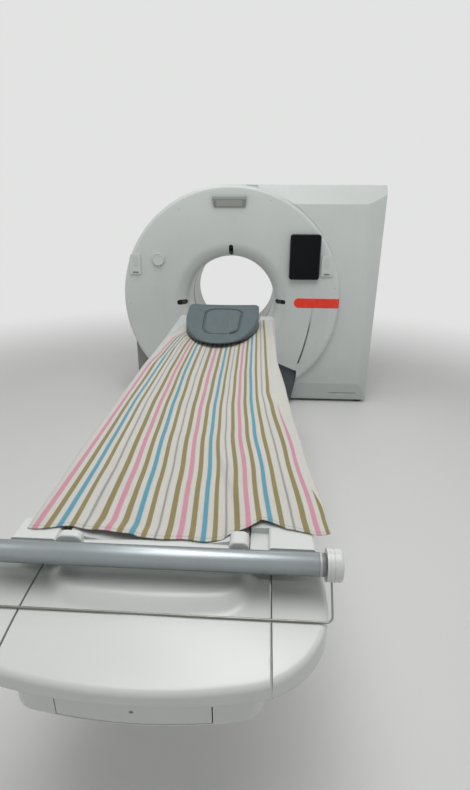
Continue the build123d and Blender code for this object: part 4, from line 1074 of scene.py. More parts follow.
@dataclass(frozen=True)
class Composite(Finish):
    """Gel-coated carbon cradle: pale skin over a faint woven print-through."""

    colour: Colour = srgb(206, 209, 208)
    pitch: float = 0.006

    def paint(self, nodes: Nodes) -> bpy.types.Material:
        """Fills the nodes.

        Args:
            nodes: The empty material.

        Returns:
            The material.
        """
        place = nodes.place()
        x, y, _ = nodes.parts(place)
        tow = ((x + y) * (math.pi / self.pitch)).sine() * ((x - y) * (math.pi / self.pitch)).sine()
        patch = nodes.noise(place, 4.0, 4.0, 0.6)
        darker = toned(self.colour, 0.8)
        return nodes.shade({
            "Base Color": nodes.mix(patch.step(0.4, 0.7) * 0.3 + tow * 0.03, self.colour, darker),
            "Roughness": 0.3 + patch * 0.15, "Normal": nodes.bump(tow, 0.00006),
            "Coat Weight": 0.25,
        })


WHITE = Moulding("white_cover")
WHITE_FOOT = Moulding("foot_moulding", colour=srgb(212, 215, 212), warm=srgb(204, 206, 201),
                      rough=0.3, dust=0.22, coat=0.25)
FIELD = Moulding("control_field", colour=srgb(194, 199, 197), warm=srgb(188, 192, 189), rough=0.3)
HOOD_FRAME = Moulding("hood_frame", "cover_grey", colour=srgb(150, 155, 152),
                      warm=srgb(142, 147, 144), rough=0.4)
GREY = Moulding("grey_cover", "cover_grey", colour=srgb(140, 142, 141),
                warm=srgb(126, 126, 122), rough=0.45, dust=0.4)
PALE_GREY = Moulding("pale_grey_cover", "cover_grey", colour=srgb(186, 188, 186),
                     warm=srgb(178, 177, 170), rough=0.4, dust=0.45)
# Near-black moulding; on the link cover in the arch its darkness also paints the shade of the gap
# between table and gantry.
DARK = Moulding("dark_cover", "dark_cover", colour=srgb(36, 40, 33), warm=srgb(33, 36, 30),
                rough=0.6, dust=0.3, coat=0.0, gloss=0.15)
LINER = Moulding("liner_plastic", colour=srgb(206, 208, 206), warm=srgb(196, 196, 190), rough=0.42,
                 dust=0.1)
WINDOW = Film("scan_window_film", "window_film", colour=srgb(120, 124, 124))
STRIP = Film("colour_strip", "window_film")
GLASS = DarkGlass("tablet_glass", "tablet", colour=srgb(8, 11, 14), marks=0.2, gloss=0.07, coat=0.0)
BEZEL = Rubber("tablet_rim", "tablet", colour=srgb(26, 29, 32), rough=0.5)
LENS = DarkGlass("laser_lens", "laser_glass", colour=srgb(8, 8, 10), rough=0.06, marks=0.1)
HOOD_PANE = Moulding("hood_pane", colour=srgb(176, 180, 175), warm=srgb(170, 172, 166), rough=0.24,
                     dust=0.15, coat=0.4)
KEY_FINISH = Rubber("key_rubber", "key", colour=srgb(112, 116, 115), rough=0.5)
ALUMINIUM = Metal("drawn_aluminium", "aluminium", colour=srgb(154, 160, 163), rough=0.34,
                  grain=Grain.ALONG_X)
RAIL_STEEL = Metal("ground_steel", "steel", colour=srgb(172, 173, 174), rough=0.22,
                   grain=Grain.ALONG_Y)
TURNED = Metal("turned_steel", "steel", colour=srgb(168, 170, 172), rough=0.3)
WIRE = Metal("plated_wire", "wire", colour=srgb(142, 142, 136), rough=0.34, dull=0.45)
COPPER = Metal("ring_tracks", "steel", colour=srgb(184, 150, 96), rough=0.3)
CLOTH = Striped("striped_cotton", "cloth")
FOAM = SkinFoam("grey_skin_foam", "foam")
PAD = PadCloth("blue_grey_pad", "pad")
# Dark rubber: paints the shade along the head support's lower edge, and colours its clasp.
EDGE_SHADE_AND_CLASP = Rubber("support_edge_shade_and_clasp", "rubber", colour=srgb(40, 43, 45), rough=0.55)
TYRE = Rubber("dark_rubber", "rubber")
FRAME_PAINT = Coated("frame_paint", "frame_paint", colour=srgb(92, 96, 101))
UNIT_PAINT = Coated("unit_paint", "unit_paint", colour=srgb(176, 178, 180))
DARK_PAINT = Coated("dark_unit_paint", "unit_paint", colour=srgb(52, 54, 58))
CRADLE = Composite("cradle_composite", "cradle")


def upright(outline: Sequence[Point2], y: float, centre: Point2 = (0.0, 0.0)) -> List[Point3]:
    """A front-view outline as points in the plane at y, drawn round a centre."""
    return [(centre[0] + x, y, centre[1] + z) for x, z in outline]


def level(outline: Sequence[Point2], z: float) -> List[Point3]:
    """A plan outline as points at one height."""
    return [(x, y, z) for x, y in outline]


def upright_rings(
    outline: Sequence[Point2], steps: Sequence[Point2], centre: Point2 = (0.0, 0.0),
) -> List[List[Point3]]:
    """Loops of a front-view outline, each drawn in by some depth.

    Args:
        outline: The outline about its middle.
        steps: The depth and the plane's y of each loop.
        centre: Where the middle stands.

    Returns:
        The loops.
    """
    return [upright(inward(outline, depth), y, centre) for depth, y in steps]


def level_rings(outline: Sequence[Point2], steps: Sequence[Point2]) -> List[List[Point3]]:
    """Loops of a plan outline, each drawn in by a depth at a height, given as pairs."""
    return [level(inward(outline, depth), z) for depth, z in steps]


def resized(outline: Sequence[Point2], centre: Point2, share: float) -> List[Point2]:
    """An outline drawn in towards a centre."""
    cx, cy = centre
    return [(cx + (x - cx) * share, cy + (y - cy) * share) for x, y in outline]


def reach(outline: Sequence[Point2], centre: Point2, angle: float) -> float:
    """How far a closed outline is from a point inside it, in one direction.

    Args:
        outline: The closed outline.
        centre: The point inside.
        angle: The direction, in radians.

    Returns:
        The distance.
    """
    dx, dy = math.cos(angle), math.sin(angle)
    best = 0.0
    for (x0, y0), (x1, y1) in zip(outline, [*outline[1:], outline[0]]):
        ex, ey = x1 - x0, y1 - y0
        cross = dx * ey - dy * ex
        if abs(cross) < 1e-12:
            continue
        ax, ay = x0 - centre[0], y0 - centre[1]
        distance = (ax * ey - ay * ex) / cross
        share = (ax * dy - ay * dx) / cross
        if distance > 0 and -1e-9 <= share <= 1 + 1e-9:
            best = max(best, distance)
    return best


@dataclass
class GantryFront:
    """The round dished front, the square front beside it and the fittings on both.

    Attributes:
        flare_r: The radius of the flare from the bore onto the face.
        flare_y: How far back the flare's centre lies.
        face_start: Where the face starts, from the bore's axis.
        rim_start: Where the rim's rounding starts, and rim_round is its radius.
        thick: The cover's depth.
        wall: Its wall.
        lip: The lip round its open back.
        crease_centre: The centre of the arc that the crease follows, seen from the front.
        crease_r: That arc's radius.
        laser_r: How far out the laser windows lie.
        lasers: Each window's angle, how far it lies under the radius, and half its height.
        hood_low: The hood's foot; hood_high is its top and hood_lean how far left it stands.
        edge_x: Where the square front's right bevel starts.
        edge_widths: How much wider that bevel is made, at its foot and at its top.
        slot: The corners of the long slot low in the square front.
        box_spots: The control boxes' middles.
        dock_spots: The round docks' middles.
        plug_spots: The fastener covers' middles.
        tablet_half: Half the tablet's width and height.
        strip_start: Where the colour strip starts; strip_end is where it ends.
        strip_z: The height of its middle, and strip_half is half its width.
        steps: The parts of a full turn.
        profile: The skin's (radius, y) places, from the bore to the rim.
    """

    flare_r: float = 0.118
    flare_y: float = 0.130
    face_start: float = 0.468
    rim_start: float = 0.847
    rim_round: float = 0.028
    thick: float = 0.075
    wall: float = 0.008
    lip: float = 0.022
    crease_centre: Point2 = (-1.175, 0.983)
    crease_r: float = 1.837
    laser_r: float = 0.402
    lasers: Tuple[Point3, ...] = (
        (0.0, 0.0, 0.017), (math.pi / 2, 0.0, 0.017), (math.pi, 0.014, 0.020),
    )
    hood_low: float = 1.614
    hood_high: float = 1.700
    hood_lean: float = 0.010
    edge_x: float = 1.100
    edge_widths: Point2 = (0.024, 0.100)
    slot: Tuple[Point3, Point3] = ((0.860, 0.05, 0.0925), (1.090, 0.099, 0.0975))
    box_spots: Tuple[Point2, Point2] = ((-0.762, 1.190), (0.752, 1.190))
    dock_spots: Tuple[Point2, Point2] = ((-0.574, 1.231), (0.575, 1.257))
    plug_spots: Tuple[Point2, ...] = (
        (-0.398, 0.714), (-0.826, 0.873), (0.30, 1.665), (-0.40, 1.60), (0.826, 1.02),
    )
    tablet_half: Point2 = (0.118, 0.170)
    strip_start: float = 0.509
    strip_end: float = 0.872
    strip_z: float = 0.8975
    strip_half: float = 0.0385
    steps: int = 240
    profile: List[Point2] = field(default_factory=list)

    def __post_init__(self) -> None:
        """Works out the front's skin from the bore to the rim."""
        flare = [
            (self.face_start - self.flare_r * math.cos(a),
             self.flare_y - self.flare_r * math.sin(a))
            for a in quarter(16)
        ]
        face = arc((self.face_start, 0.012), (0.6575, 0.004), (self.rim_start, 0.0), 46)[1:]
        rim = [
            (self.rim_start + self.rim_round * math.sin(a), self.rim_round * (1 - math.cos(a)))
            for a in quarter(10)[1:]
        ]
        self.profile = flare + face + rim

    def skin_y(self, x: float, z: float) -> float:
        """Finds the front's skin.

        Args:
            x: The place across, seen from the front.
            z: Its height.

        Returns:
            How far back the skin lies there.
        """
        radius = math.hypot(x, z - AXIS_Z)
        for (r0, y0), (r1, y1) in zip(self.profile, self.profile[1:]):
            if r0 <= radius <= r1:
                return y0 + (y1 - y0) * (radius - r0) / (r1 - r0) + self.sink(x, z)
        return self.profile[-1][1]

    def sink(self, x: float, z: float) -> float:
        """Finds how deep the crescent beside the crease is.

        Args:
            x: The place across, seen from the front.
            z: Its height.

        Returns:
            How far the skin lies behind the face there.
        """
        cx, cz = self.crease_centre
        past = math.hypot(x - cx, z - cz) - self.crease_r
        if past <= 0 or x < 0:
            return 0.0
        deep = 0.016 * blend_steps(1.02 - z, 0.0, 0.40)
        ramp = 0.014 + 0.012 * blend_steps(0.95 - z, 0.0, 0.55)
        return deep * blend_steps(past, 0.0, ramp) * (1 - blend_steps(past, 0.075, 0.150))

    def blank(self) -> Form:
        """Turns the whole dished shell.

        Returns:
            The shell before its openings are cut.
        """
        back = [(DISC_R, self.thick), (DISC_R - self.lip, self.thick)]
        inner_back = [
            (DISC_R - self.lip, self.thick - self.wall),
            (DISC_R - self.wall, self.thick - self.wall),
        ]
        small = self.rim_round - self.wall
        rim = [
            (self.rim_start + small * math.sin(a), self.wall + small * (1 - math.cos(a)))
            for a in quarter(5)[:0:-1]
        ]
        face = [(r, y + self.wall) for r, y in reversed(self.profile[17:63])]
        inner_r = self.flare_r - self.wall
        flare = [
            (self.face_start - inner_r * math.cos(a), self.flare_y - inner_r * math.sin(a))
            for a in quarter(8)[::-1]
        ]
        profile = self.profile + back + inner_back + rim + face + flare
        form = Form.lathe(profile, (0, 0, AXIS_Z), self.steps)
        front_half = 0.03
        return form.bend(lambda p: Vector(
            (p.x, p.y + (self.sink(p.x, p.z) if p.y < front_half else 0), p.z)))

    def lens_hole(self, laser: Point3, margin: float) -> Form:
        """The long round-ended hole of one laser.

        Args:
            laser: Its angle from the right, how far it lies under the radius, half its height.
            margin: How much smaller the hole is made all round.

        Returns:
            The hole as a solid through the cover.
        """
        angle, drop, half = laser
        half_x, half_z = 0.040 - margin, half - margin
        outline = rounded_box(half_x, half_z, half_z * 0.98, 10)
        turned = [
            (
                math.cos(angle) * (x + self.laser_r) - math.sin(angle) * z,
                math.sin(angle) * (x + self.laser_r) + math.cos(angle) * z,
            )
            for x, z in outline
        ]
        return Form.stack([upright(turned, y, (0, AXIS_Z - drop)) for y in (-0.01, 0.18)])

    def cover(self) -> None:
        """The front cover with its arch, crease and laser holes, and the lenses in them."""
        arch = [
            (0.340, 0.408), (0.558, 0.318), (0.558, 0.256), (0.520, -0.01),
            (-0.520, -0.01), (-0.558, 0.256), (-0.558, 0.318), (-0.340, 0.408),
        ]
        form = self.blank()
        form.cut(Form.stack([upright(arch, y) for y in (-0.05, 0.2)]))
        cx, cz = self.crease_centre
        blade = [
            (self.crease_r - 0.0014, -0.02), (self.crease_r + 0.0014, -0.02),
            (self.crease_r + 0.0014, 0.007), (self.crease_r - 0.0014, 0.007),
        ]
        form.cut(Form.lathe(blade, (cx, 0, cz), 44, sweep=0.452, start=-0.118))
        wedge = [
            (self.crease_r - 0.0020, -0.02), (self.crease_r + 0.0048, -0.02),
            (self.crease_r + 0.0048, 0.0165), (self.crease_r - 0.0020, 0.0150),
        ]
        tool = Form.lathe(wedge, (cx, 0, cz), 30, sweep=0.262, start=0.068)

        def flare_out(p: Vector) -> Vector:
            """Widens the wedge towards its lower end.

            Args:
                p: A point of the even wedge.

            Returns:
                Its new place.
            """
            dx, dz = p.x - cx, p.z - cz
            radius = math.hypot(dx, dz)
            extra = max(radius - self.crease_r, 0.0) * 2.8 * blend_steps(-p.z, -0.86, -0.50)
            grow = (radius + extra) / radius
            drop = 0.0070 * (1 - blend_steps(-p.z, -0.86, -0.66)) if p.y > 0 else 0.0
            return Vector((cx + dx * grow, p.y - drop, cz + dz * grow))

        form.cut(tool.bend(flare_out))
        whole, lenses = self.blank(), Form()
        for laser in self.lasers:
            form.cut(self.lens_hole(laser, 0.0))
            lenses.add(Form().take(whole.mesh("lens")).common(self.lens_hole(laser, 0.0007)))
        whole.bm.free()
        form.piece("front_shell", Body.GANTRY, WHITE, ["front_cover"], crease=26, even=False)
        lenses.shifted(0.0, -0.0012)
        lenses.piece("laser_lenses", Body.GANTRY, LENS, ["laser_windows"], crease=40, even=False)

    def square_front(self) -> None:
        """The bevelled square front with its long low slot."""
        form, bevel_back = Form.of_node("right_front_cover"), 0.0665

        def widen(p: Vector) -> Vector:
            """Draws the face's right edge inwards, more so at the top.

            Args:
                p: A point of the front.

            Returns:
                Its new place.
            """
            if p.x < self.edge_x or p.y > bevel_back:
                return p
            low, high = self.edge_widths
            return Vector((p.x - low - (high - low) * blend_steps(p.z, 0.15, 1.68), p.y, p.z))

        def outer(p: Vector) -> bool:
            """On the front's own creases, not on its edge round the disc."""
            return math.hypot(p.x, p.z - AXIS_Z) > 0.884 and p.x > 0.25 and p.y < 0.157

        def upright_edge(p: Vector) -> bool:
            """On the soft crease at the face's right."""
            return p.x > 0.92 and abs(p.z - 0.92) < 0.3 and p.y < 0.062

        form.bend(widen)
        form.soften(0.020, 6, 8, upright_edge)
        form.soften(0.005, 4, 14, outer)
        form.cut(Form.block(*self.slot))
        form.piece("square_front", Body.GANTRY, WHITE, ["right_front_cover"], crease=24)

    def hood(self) -> None:
        """The small hood over the bore with a grey pane in its slanting face."""
        form = Form.of_node("hood").soften(0.004, 4, 24).shifted(-self.hood_lean)
        form.piece("front_hood", Body.GANTRY, HOOD_FRAME, ["hood"], crease=30)
        top_z, low_z = self.hood_high - 0.0287, self.hood_low
        top_y, low_y = -0.046, -0.008

        def slope(outline: Sequence[Point2], out: float) -> List[Point3]:
            """Draws an outline on the slanting face.

            Args:
                outline: The outline about the face's middle.
                out: How far it is lifted off the face.

            Returns:
                The outline's points.
            """
            run = math.hypot(top_z - low_z, low_y - top_y)
            dy, dz = (low_y - top_y) / run, (low_z - top_z) / run
            middle = (top_y + low_y) / 2, (top_z + low_z) / 2
            return [
                (x - self.hood_lean, middle[0] - v * dy + out * dz, middle[1] - v * dz - out * dy)
                for x, v in outline
            ]

        outline = rounded_box(0.098, 0.024, 0.007, 5)
        rings = [slope(outline, -0.002), slope(outline, 0.0006),
                 slope(inward(outline, 0.0016), 0.0014)]
        Form.stack(rings).piece("hood_pane", Body.GANTRY, HOOD_PANE, crease=30)
        clips = Form()
        for x in (-0.112, 0.112):
            tab = rounded_box(0.007, 0.021, 0.004, 4)
            shape = [(px + x, pv) for px, pv in tab]
            clips.add(Form.stack([
                slope(shape, -0.002), slope(shape, 0.0014), slope(inward(shape, 0.001), 0.0022),
            ]))
        clips.piece("hood_end_tabs", Body.GANTRY, HOOD_FRAME, crease=30)

    def controls(self) -> None:
        """The two control boxes at the rim, each with a flat field of soft buttons."""
        form = Form.of_node("control_boxes").soften(0.0022, 3, 30)
        form.piece("side_control_boxes", Body.GANTRY, WHITE, ["control_boxes"], crease=32)
        fields, marks = Form(), Form()
        for (x, z), lean in zip(self.box_spots, (0.008, -0.004)):
            centre = (x + lean, z + 0.018)
            oval = rounded_box(0.021, 0.041, 0.0205, 10)
            steps = [(0.0, -0.0125), (0.0, -0.0144), (0.0010, -0.0148), (0.0034, -0.0148),
                     (0.0044, -0.0143)]
            fields.add(Form.stack(upright_rings(oval, steps, centre)))
            for row in (-0.022, -0.0073, 0.0073, 0.022):
                spot = (centre[0], 0.0, centre[1] + row)
                key = [(0.0001, -0.0141), (0.0052, -0.0141), (0.0056, -0.0145), (0.0050, -0.0149),
                       (0.0001, -0.0150)]
                marks.add(Form.lathe(key, spot, 20))
        fields.piece("control_fields", Body.GANTRY, FIELD, crease=32)
        marks.piece("control_buttons", Body.GANTRY, WHITE, crease=40)

    def docks(self) -> None:
        """The two round docks; the left one is bare."""
        form = Form()
        for x, z in self.dock_spots:
            profile = [
                (0.0002, 0.010), (0.047, 0.010), (0.047, -0.0195), (0.0462, -0.0213),
                (0.0445, -0.022), (0.0395, -0.022), (0.0385, -0.0214), (0.0380, -0.0196),
                (0.0365, -0.0190), (0.0100, -0.0186), (0.0002, -0.0186),
            ]
            form.add(Form.lathe(profile, (x, 0, z), 72))
        form.piece("dock_discs", Body.GANTRY, WHITE, ["round_docks"], crease=36)

    def tablet(self) -> None:
        """The tablet on the right dock: rim, black glass and a lens dot."""
        centre = self.dock_spots[1]
        outline = rounded_box(*self.tablet_half, 0.022, 10)
        steps = [(0.003, -0.0222), (0.0, -0.0245), (0.0, -0.0318), (0.0009, -0.0334),
                 (0.0026, -0.0340), (0.0056, -0.0340), (0.0060, -0.0330)]
        body = Form.stack(upright_rings(outline, steps, centre))
        body.piece("tablet_body", Body.GANTRY, BEZEL, ["tablet"], crease=30)
        steps = [(0.0, -0.0325), (0.0, -0.0336), (0.0005, -0.0339)]
        pane = Form.stack(upright_rings(inward(outline, 0.0064), steps, centre))
        pane.piece("tablet_pane", Body.GANTRY, GLASS, crease=30)
        eye = [(0.0001, -0.0336), (0.0034, -0.0336), (0.0034, -0.0341), (0.0001, -0.0342)]
        dot = Form.lathe(eye, (centre[0], 0, centre[1] + 0.158), 20)
        dot.piece("tablet_eye", Body.GANTRY, LENS, crease=40)

    def strip(self) -> None:
        """The bare colour strip at the right of the bore, its left end round."""
        form = Form.sheet(96, 12)
        length = self.strip_end - self.strip_start

        def lay(p: Vector) -> Vector:
            """Puts a point of the flat grid on the cover.

            Args:
                p: The point, from 0 to 1 both ways.

            Returns:
                Its place on the skin.
            """
            x = self.strip_start + length * p.x ** 1.15
            dx = x - self.strip_start
            half = self.strip_half
            if dx < half:
                half = max(math.sqrt(max(half * half - (half - dx) ** 2, 0.0)), 0.0004)
            z = self.strip_z + (p.y * 2 - 1) * half
            return Vector((x, self.skin_y(x, z) - 0.0009, z))

        form.bend(lay)
        form.tidy()
        made = form.piece("plain_strip", Body.GANTRY, STRIP, crease=60, even=False)
        thick = made.modifiers.new("film", "SOLIDIFY")
        thick.thickness = 0.0007
        thick.offset = -1.0

    def plugs(self) -> None:
        """The small round covers over the front cover's fasteners."""
        form = Form()
        for x, z in self.plug_spots:
            y = self.skin_y(x, z)
            button = [(0.0002, y + 0.002), (0.0062, y + 0.002), (0.0062, y - 0.0004),
                      (0.0054, y - 0.0011), (0.0002, y - 0.0014)]
            form.add(Form.lathe(button, (x, 0, z), 24))
        form.piece("fastener_covers", Body.GANTRY, PALE_GREY, crease=40)

    def build(self) -> None:
        """Builds the whole front in order."""
        self.cover()
        self.square_front()
        self.hood()
        self.controls()
        self.docks()
        self.tablet()
        self.strip()
        self.plugs()


@dataclass(frozen=True)
class Cover:
    """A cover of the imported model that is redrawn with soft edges.

    Attributes:
        node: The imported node.
        name: The new piece's name.
        body: What it rides on.
        finish: Its finish.
        width: How wide its edges are rounded, in that many steps.
        angle: The least angle of the edges that are rounded, in degrees.
    """

    node: str
    name: str
    body: Body
    finish: Finish
    width: float = 0.003
    steps: int = 3
    angle: float = 30.0

    def build(self) -> None:
        """Makes the softened piece in the node's place."""
        form = Form.of_node(self.node).soften(self.width, self.steps, self.angle)
        form.piece(self.name, self.body, self.finish, [self.node], crease=30)


COVERS = (
    Cover("rear_cover", "rear_shell", Body.GANTRY, WHITE, 0.004),
    Cover("rear_grille", "rear_grille_plate", Body.GANTRY, GREY, 0.0012, 2),
    Cover("top_cover", "top_shell", Body.GANTRY, WHITE, 0.0028),
    Cover("right_side_cover", "side_shell", Body.GANTRY, WHITE, 0.0020, 2),
    Cover("left_shroud", "left_shroud_shell", Body.GANTRY, WHITE, 0.0020, 2),
    Cover("left_stand_cover", "left_stand_shell", Body.GANTRY, GREY, 0.0026),
    # Its near-black colour also paints the shade of the gap under the bore.
    Cover("link_cover", "link_shell", Body.GANTRY, DARK, 0.0028),
    Cover("cable_inlet_plate", "cable_inlet", Body.GANTRY, DARK, 0.0010, 2),
    Cover("side_covers", "table_side_covers", Body.FRAME, WHITE, 0.0022, 3),
)

PLAIN_NODES: Dict[str, Finish] = {
    "bore_liner": LINER, "scan_window": WINDOW,
    "base_frame": FRAME_PAINT, "main_frame": FRAME_PAINT,
    "levelling_feet": TYRE, "bearing_outer_ring": TURNED, "bearing_inner_ring": TURNED,
    "bearing_rollers": RAIL_STEEL, "rotor_drum": FRAME_PAINT, "xray_tube": UNIT_PAINT,
    "collimator": DARK_PAINT, "detector_arc": UNIT_PAINT, "hv_generator": UNIT_PAINT,
    "tube_cooler": DARK_PAINT, "data_unit": UNIT_PAINT, "slip_ring": COPPER,
    "brush_block": DARK_PAINT, "drive_motor": DARK_PAINT, "motor_pulley": RAIL_STEEL,
    "drive_belt": TYRE, "electronics_cabinet": UNIT_PAINT, "control_key_left": KEY_FINISH,
    "control_key_right": KEY_FINISH, "tabletop": CRADLE, "carriages": DARK_PAINT,
    "guide_rails": RAIL_STEEL, "support_beam": FRAME_PAINT, "tabletop_drive": DARK_PAINT,
    "lift_base": PALE_GREY, "lift_mid": PALE_GREY, "lift_top": WHITE, "lift_drive": DARK_PAINT,
    "base_plate": FRAME_PAINT,
}


@dataclass
class FootEnd:
    """The foot cover in three mouldings, the tray under it, the roll and its wire bail.

    Attributes:
        half: Half the foot cover's width.
        foot_y: Its nearest point.
        bow: How far its front is bowed.
        corner: The radius of its front corners.
        back_y: Its far edge.
        low_z: Its lower edge; rim_z and back_z are its top's height in front and behind.
        bulge: How much its top is crowned; rim_round is the radius of the top's edge.
        seam_x: Where the seams between the mouldings lie, and seam is their width.
        hump_half: Half the hump's width; hump_y is its front and hump_z its height.
        hump_corner: The radius of its corners.
        hump_slope: How wide the slope round the hump is.
        roll_y: The roll's axis, at the height roll_z.
        roll_r: The roll's radius, and roll_half is half its length.
        bail_length: How far the wire reaches from that axis.
        bail_angle: How steeply it hangs, in degrees.
        bail_x: Where its legs stand to each side.
        swivel_r: The radius of the discs that it turns on, and swivel_half half their width.
        wire_r: The wire's radius.
        tray_z: The height of the tray panel's middle.
        middle: The point that the foot cover's loops close in on.
    """

    half: float = 0.435
    foot_y: float = -3.222
    bow: float = 0.020
    corner: float = 0.215
    back_y: float = -2.850
    low_z: float = 0.700
    rim_z: float = 0.742
    back_z: float = 0.778
    bulge: float = 0.015
    rim_round: float = 0.014
    seam_x: float = 0.298
    seam: float = 0.0054
    hump_half: float = 0.240
    hump_y: float = -3.020
    hump_z: float = 0.8055
    hump_corner: float = 0.070
    hump_slope: float = 0.036
    roll_y: float = -2.964
    roll_z: float = 0.868
    roll_r: float = 0.0275
    roll_half: float = 0.424
    bail_length: float = 0.1245
    bail_angle: float = 46.3
    bail_x: float = 0.438
    swivel_r: float = 0.0386
    swivel_half: float = 0.0047
    wire_r: float = 0.0025
    tray_z: float = 0.650
    middle: Point2 = (0.0, -2.960)

    def plan(self) -> List[Point2]:
        """Draws the foot cover seen from above.

        Returns:
            Its outline, anticlockwise.
        """
        side_y = self.foot_y + self.bow + self.corner
        inner = self.half - self.corner
        lean = math.atan2(2 * self.bow, inner) / 2
        turn = (inner + self.corner * math.sin(2 * lean), side_y - self.corner * math.cos(2 * lean))
        middle = polar((inner, side_y), self.corner, math.radians(-45) + lean)
        front = arc((-turn[0], turn[1]), (0, self.foot_y), turn, 64)
        right = arc(turn, middle, (self.half, side_y), 36)[1:]
        side = [(self.half, side_y + (self.back_y - side_y) * i / 14) for i in range(1, 15)]
        back = [(self.half - 2 * self.half * i / 80, self.back_y) for i in range(1, 81)]
        left = [(-self.half, y) for _, y in reversed(side[:-1])]
        left += [(-x, y) for x, y in reversed(right)]
        return front + right + side + back + left

    def top_z(self, x: float, y: float) -> float:
        """Finds the height of the crowned top with its hump.

        Args:
            x: The place across.
            y: The place along.

        Returns:
            The height.
        """
        share = (y - self.foot_y) / (self.back_y - self.foot_y)
        base = self.rim_z + (self.back_z - self.rim_z) * share
        base += 4 * self.bulge * share * (1 - share)
        front = self.hump_y + self.bow * (x / self.hump_half) ** 2
        dx = abs(x) - (self.hump_half - self.hump_corner)
        dy = front + self.hump_corner - y
        away = math.hypot(max(dx, 0), max(dy, 0)) + min(max(dx, dy), 0) - self.hump_corner
        lift = 1 - blend_steps(away, -0.012, self.hump_slope)
        roof = self.hump_z - 0.0022 * (x / self.hump_half) ** 2
        return base + (roof - base) * lift if roof > base else base

    def blank(self) -> Form:
        """Builds the whole foot cover.

        Returns:
            One closed form.
        """
        plan = self.plan()
        low = ((0.010, 0.0), (0.003, 0.0012), (0.0, 0.005), (0.0, 0.016))
        rings = level_rings(plan, [(depth, self.low_z + rise) for depth, rise in low])
        radius = self.rim_round
        for angle in quarter(6):
            loop = inward(plan, radius * (1 - math.cos(angle)))
            rings.append(draped(loop, self.top_z, -radius * (1 - math.sin(angle))))
        inner = inward(plan, radius)
        count = 44
        shares = [1 - step / count for step in range(1, count)]
        for share in (*shares, 0.006):
            rings.append(draped(resized(inner, self.middle, share), self.top_z))
        return Form.stack(rings)

    def foot_covers(self) -> None:
        """The three mouldings with a fine seam between them."""
        inside, outside = self.seam_x - self.seam / 2, self.seam_x + self.seam / 2
        edge = (0.0011, 2, 50)
        middle = self.blank().trim((inside, 0, 0), (1, 0, 0)).trim((-inside, 0, 0), (-1, 0, 0))
        middle.soften(*edge, lambda p: abs(abs(p.x) - inside) < 1e-4)
        middle.piece("foot_cover_middle", Body.FRAME, WHITE_FOOT, ["foot_cover_centre"], 40, False)
        side = self.blank().trim((outside, 0, 0), (-1, 0, 0))
        side.soften(*edge, lambda p: abs(p.x - outside) < 1e-4)
        side.mirrored()
        side.piece("foot_cover_wings", Body.FRAME, WHITE_FOOT, ["foot_cover_sides"], 40, False)

    def cap(self) -> None:
        """The tabletop's end cap, its right lip drawn back, and the lips along the top's sides."""
        form, drawn = Form.of_node("end_cap"), 0.022
        form.bend(lambda p: Vector(
            (p.x, p.y + (drawn if p.y > -2.91 and p.x > 0.15 else 0.0), p.z)))
        form.soften(0.005, 5, 24)
        form.piece("tabletop_end_cap", Body.TOP, WHITE_FOOT, ["end_cap"], crease=30)
        lips = Form()
        for low, high in ((-0.2405, -0.2120), (0.2120, 0.2405)):
            lips.add(Form.block((low, -2.9035, 0.8640), (high, -2.6400, 0.8690)).soften(0.0015, 2))
        lips.piece("tabletop_side_lips", Body.TOP, PALE_GREY, crease=30)

    def heads(self) -> None:
        """The blocks and round heads that carry the roll, their outer ends softer."""
        form = Form.of_node("roll_brackets")
        form.soften(0.0045, 4, 40, lambda p: abs(p.x) > 0.4635)
        form.soften(0.0026, 3, 40, lambda p: p.y > self.roll_y + 0.026)
        form.piece("roll_holder_heads", Body.FRAME, WHITE_FOOT, ["roll_brackets"], crease=30)

    def tray(self) -> None:
        """The tray's cover, its removable panel and the panel's lock."""
        Form.of_node("lower_cover").soften(0.0014, 2, 34).piece(
            "tray_shell", Body.FRAME, WHITE_FOOT, ["lower_cover"], crease=30)
        panel, z = Form.of_node("access_panel"), self.tray_z
        panel.bend(lambda p: Vector((p.x * 0.989, p.y, z + (p.z - z) * 0.955)))
        panel.soften(0.0008, 2, 34)
        panel.piece("tray_panel", Body.FRAME, WHITE_FOOT, ["access_panel"], crease=30)
        lock = [
            (0.0002, 0.010), (0.0047, 0.010), (0.0047, 0.0026), (0.0042, 0.0020), (0.0012, 0.0020),
            (0.0010, 0.0046), (0.0002, 0.0046),
        ]
        Form.lathe(lock, (0, -3.195, z), 32).piece(
            "panel_lock", Body.FRAME, RAIL_STEEL, crease=36)

    def roll(self) -> None:
        """The aluminium roll tube with its end collars."""
        r, half = self.roll_r, self.roll_half
        profile = [
            (r - 0.002, -half + 0.0006), (r - 0.0006, -half), (r, -half + 0.0008),
            (r, half - 0.0008), (r - 0.0006, half), (r - 0.002, half - 0.0006),
        ]
        centre = (0, self.roll_y, self.roll_z)
        tube = Form.lathe(profile, centre, 96, ALONG_X)
        plug = [(0.0105, half - 0.015), (r - 0.0021, half - 0.015), (r - 0.0021, half - 0.0012),
                (0.0105, half - 0.0012)]
        tube.piece("roll_tube_skin", Body.ROLL, ALUMINIUM, ["roll_tube"], crease=40, even=False)
        plugs = Form.lathe(plug, centre, 64, ALONG_X).mirrored()
        collar = [(r - 0.001, half - 0.0150), (r + 0.0014, half - 0.0146),
                  (r + 0.0014, half - 0.0098), (r - 0.001, half - 0.0094)]
        plugs.add(Form.lathe(collar, centre, 72, ALONG_X).mirrored())
        plugs.piece("roll_plugs", Body.ROLL, PALE_GREY, crease=40)

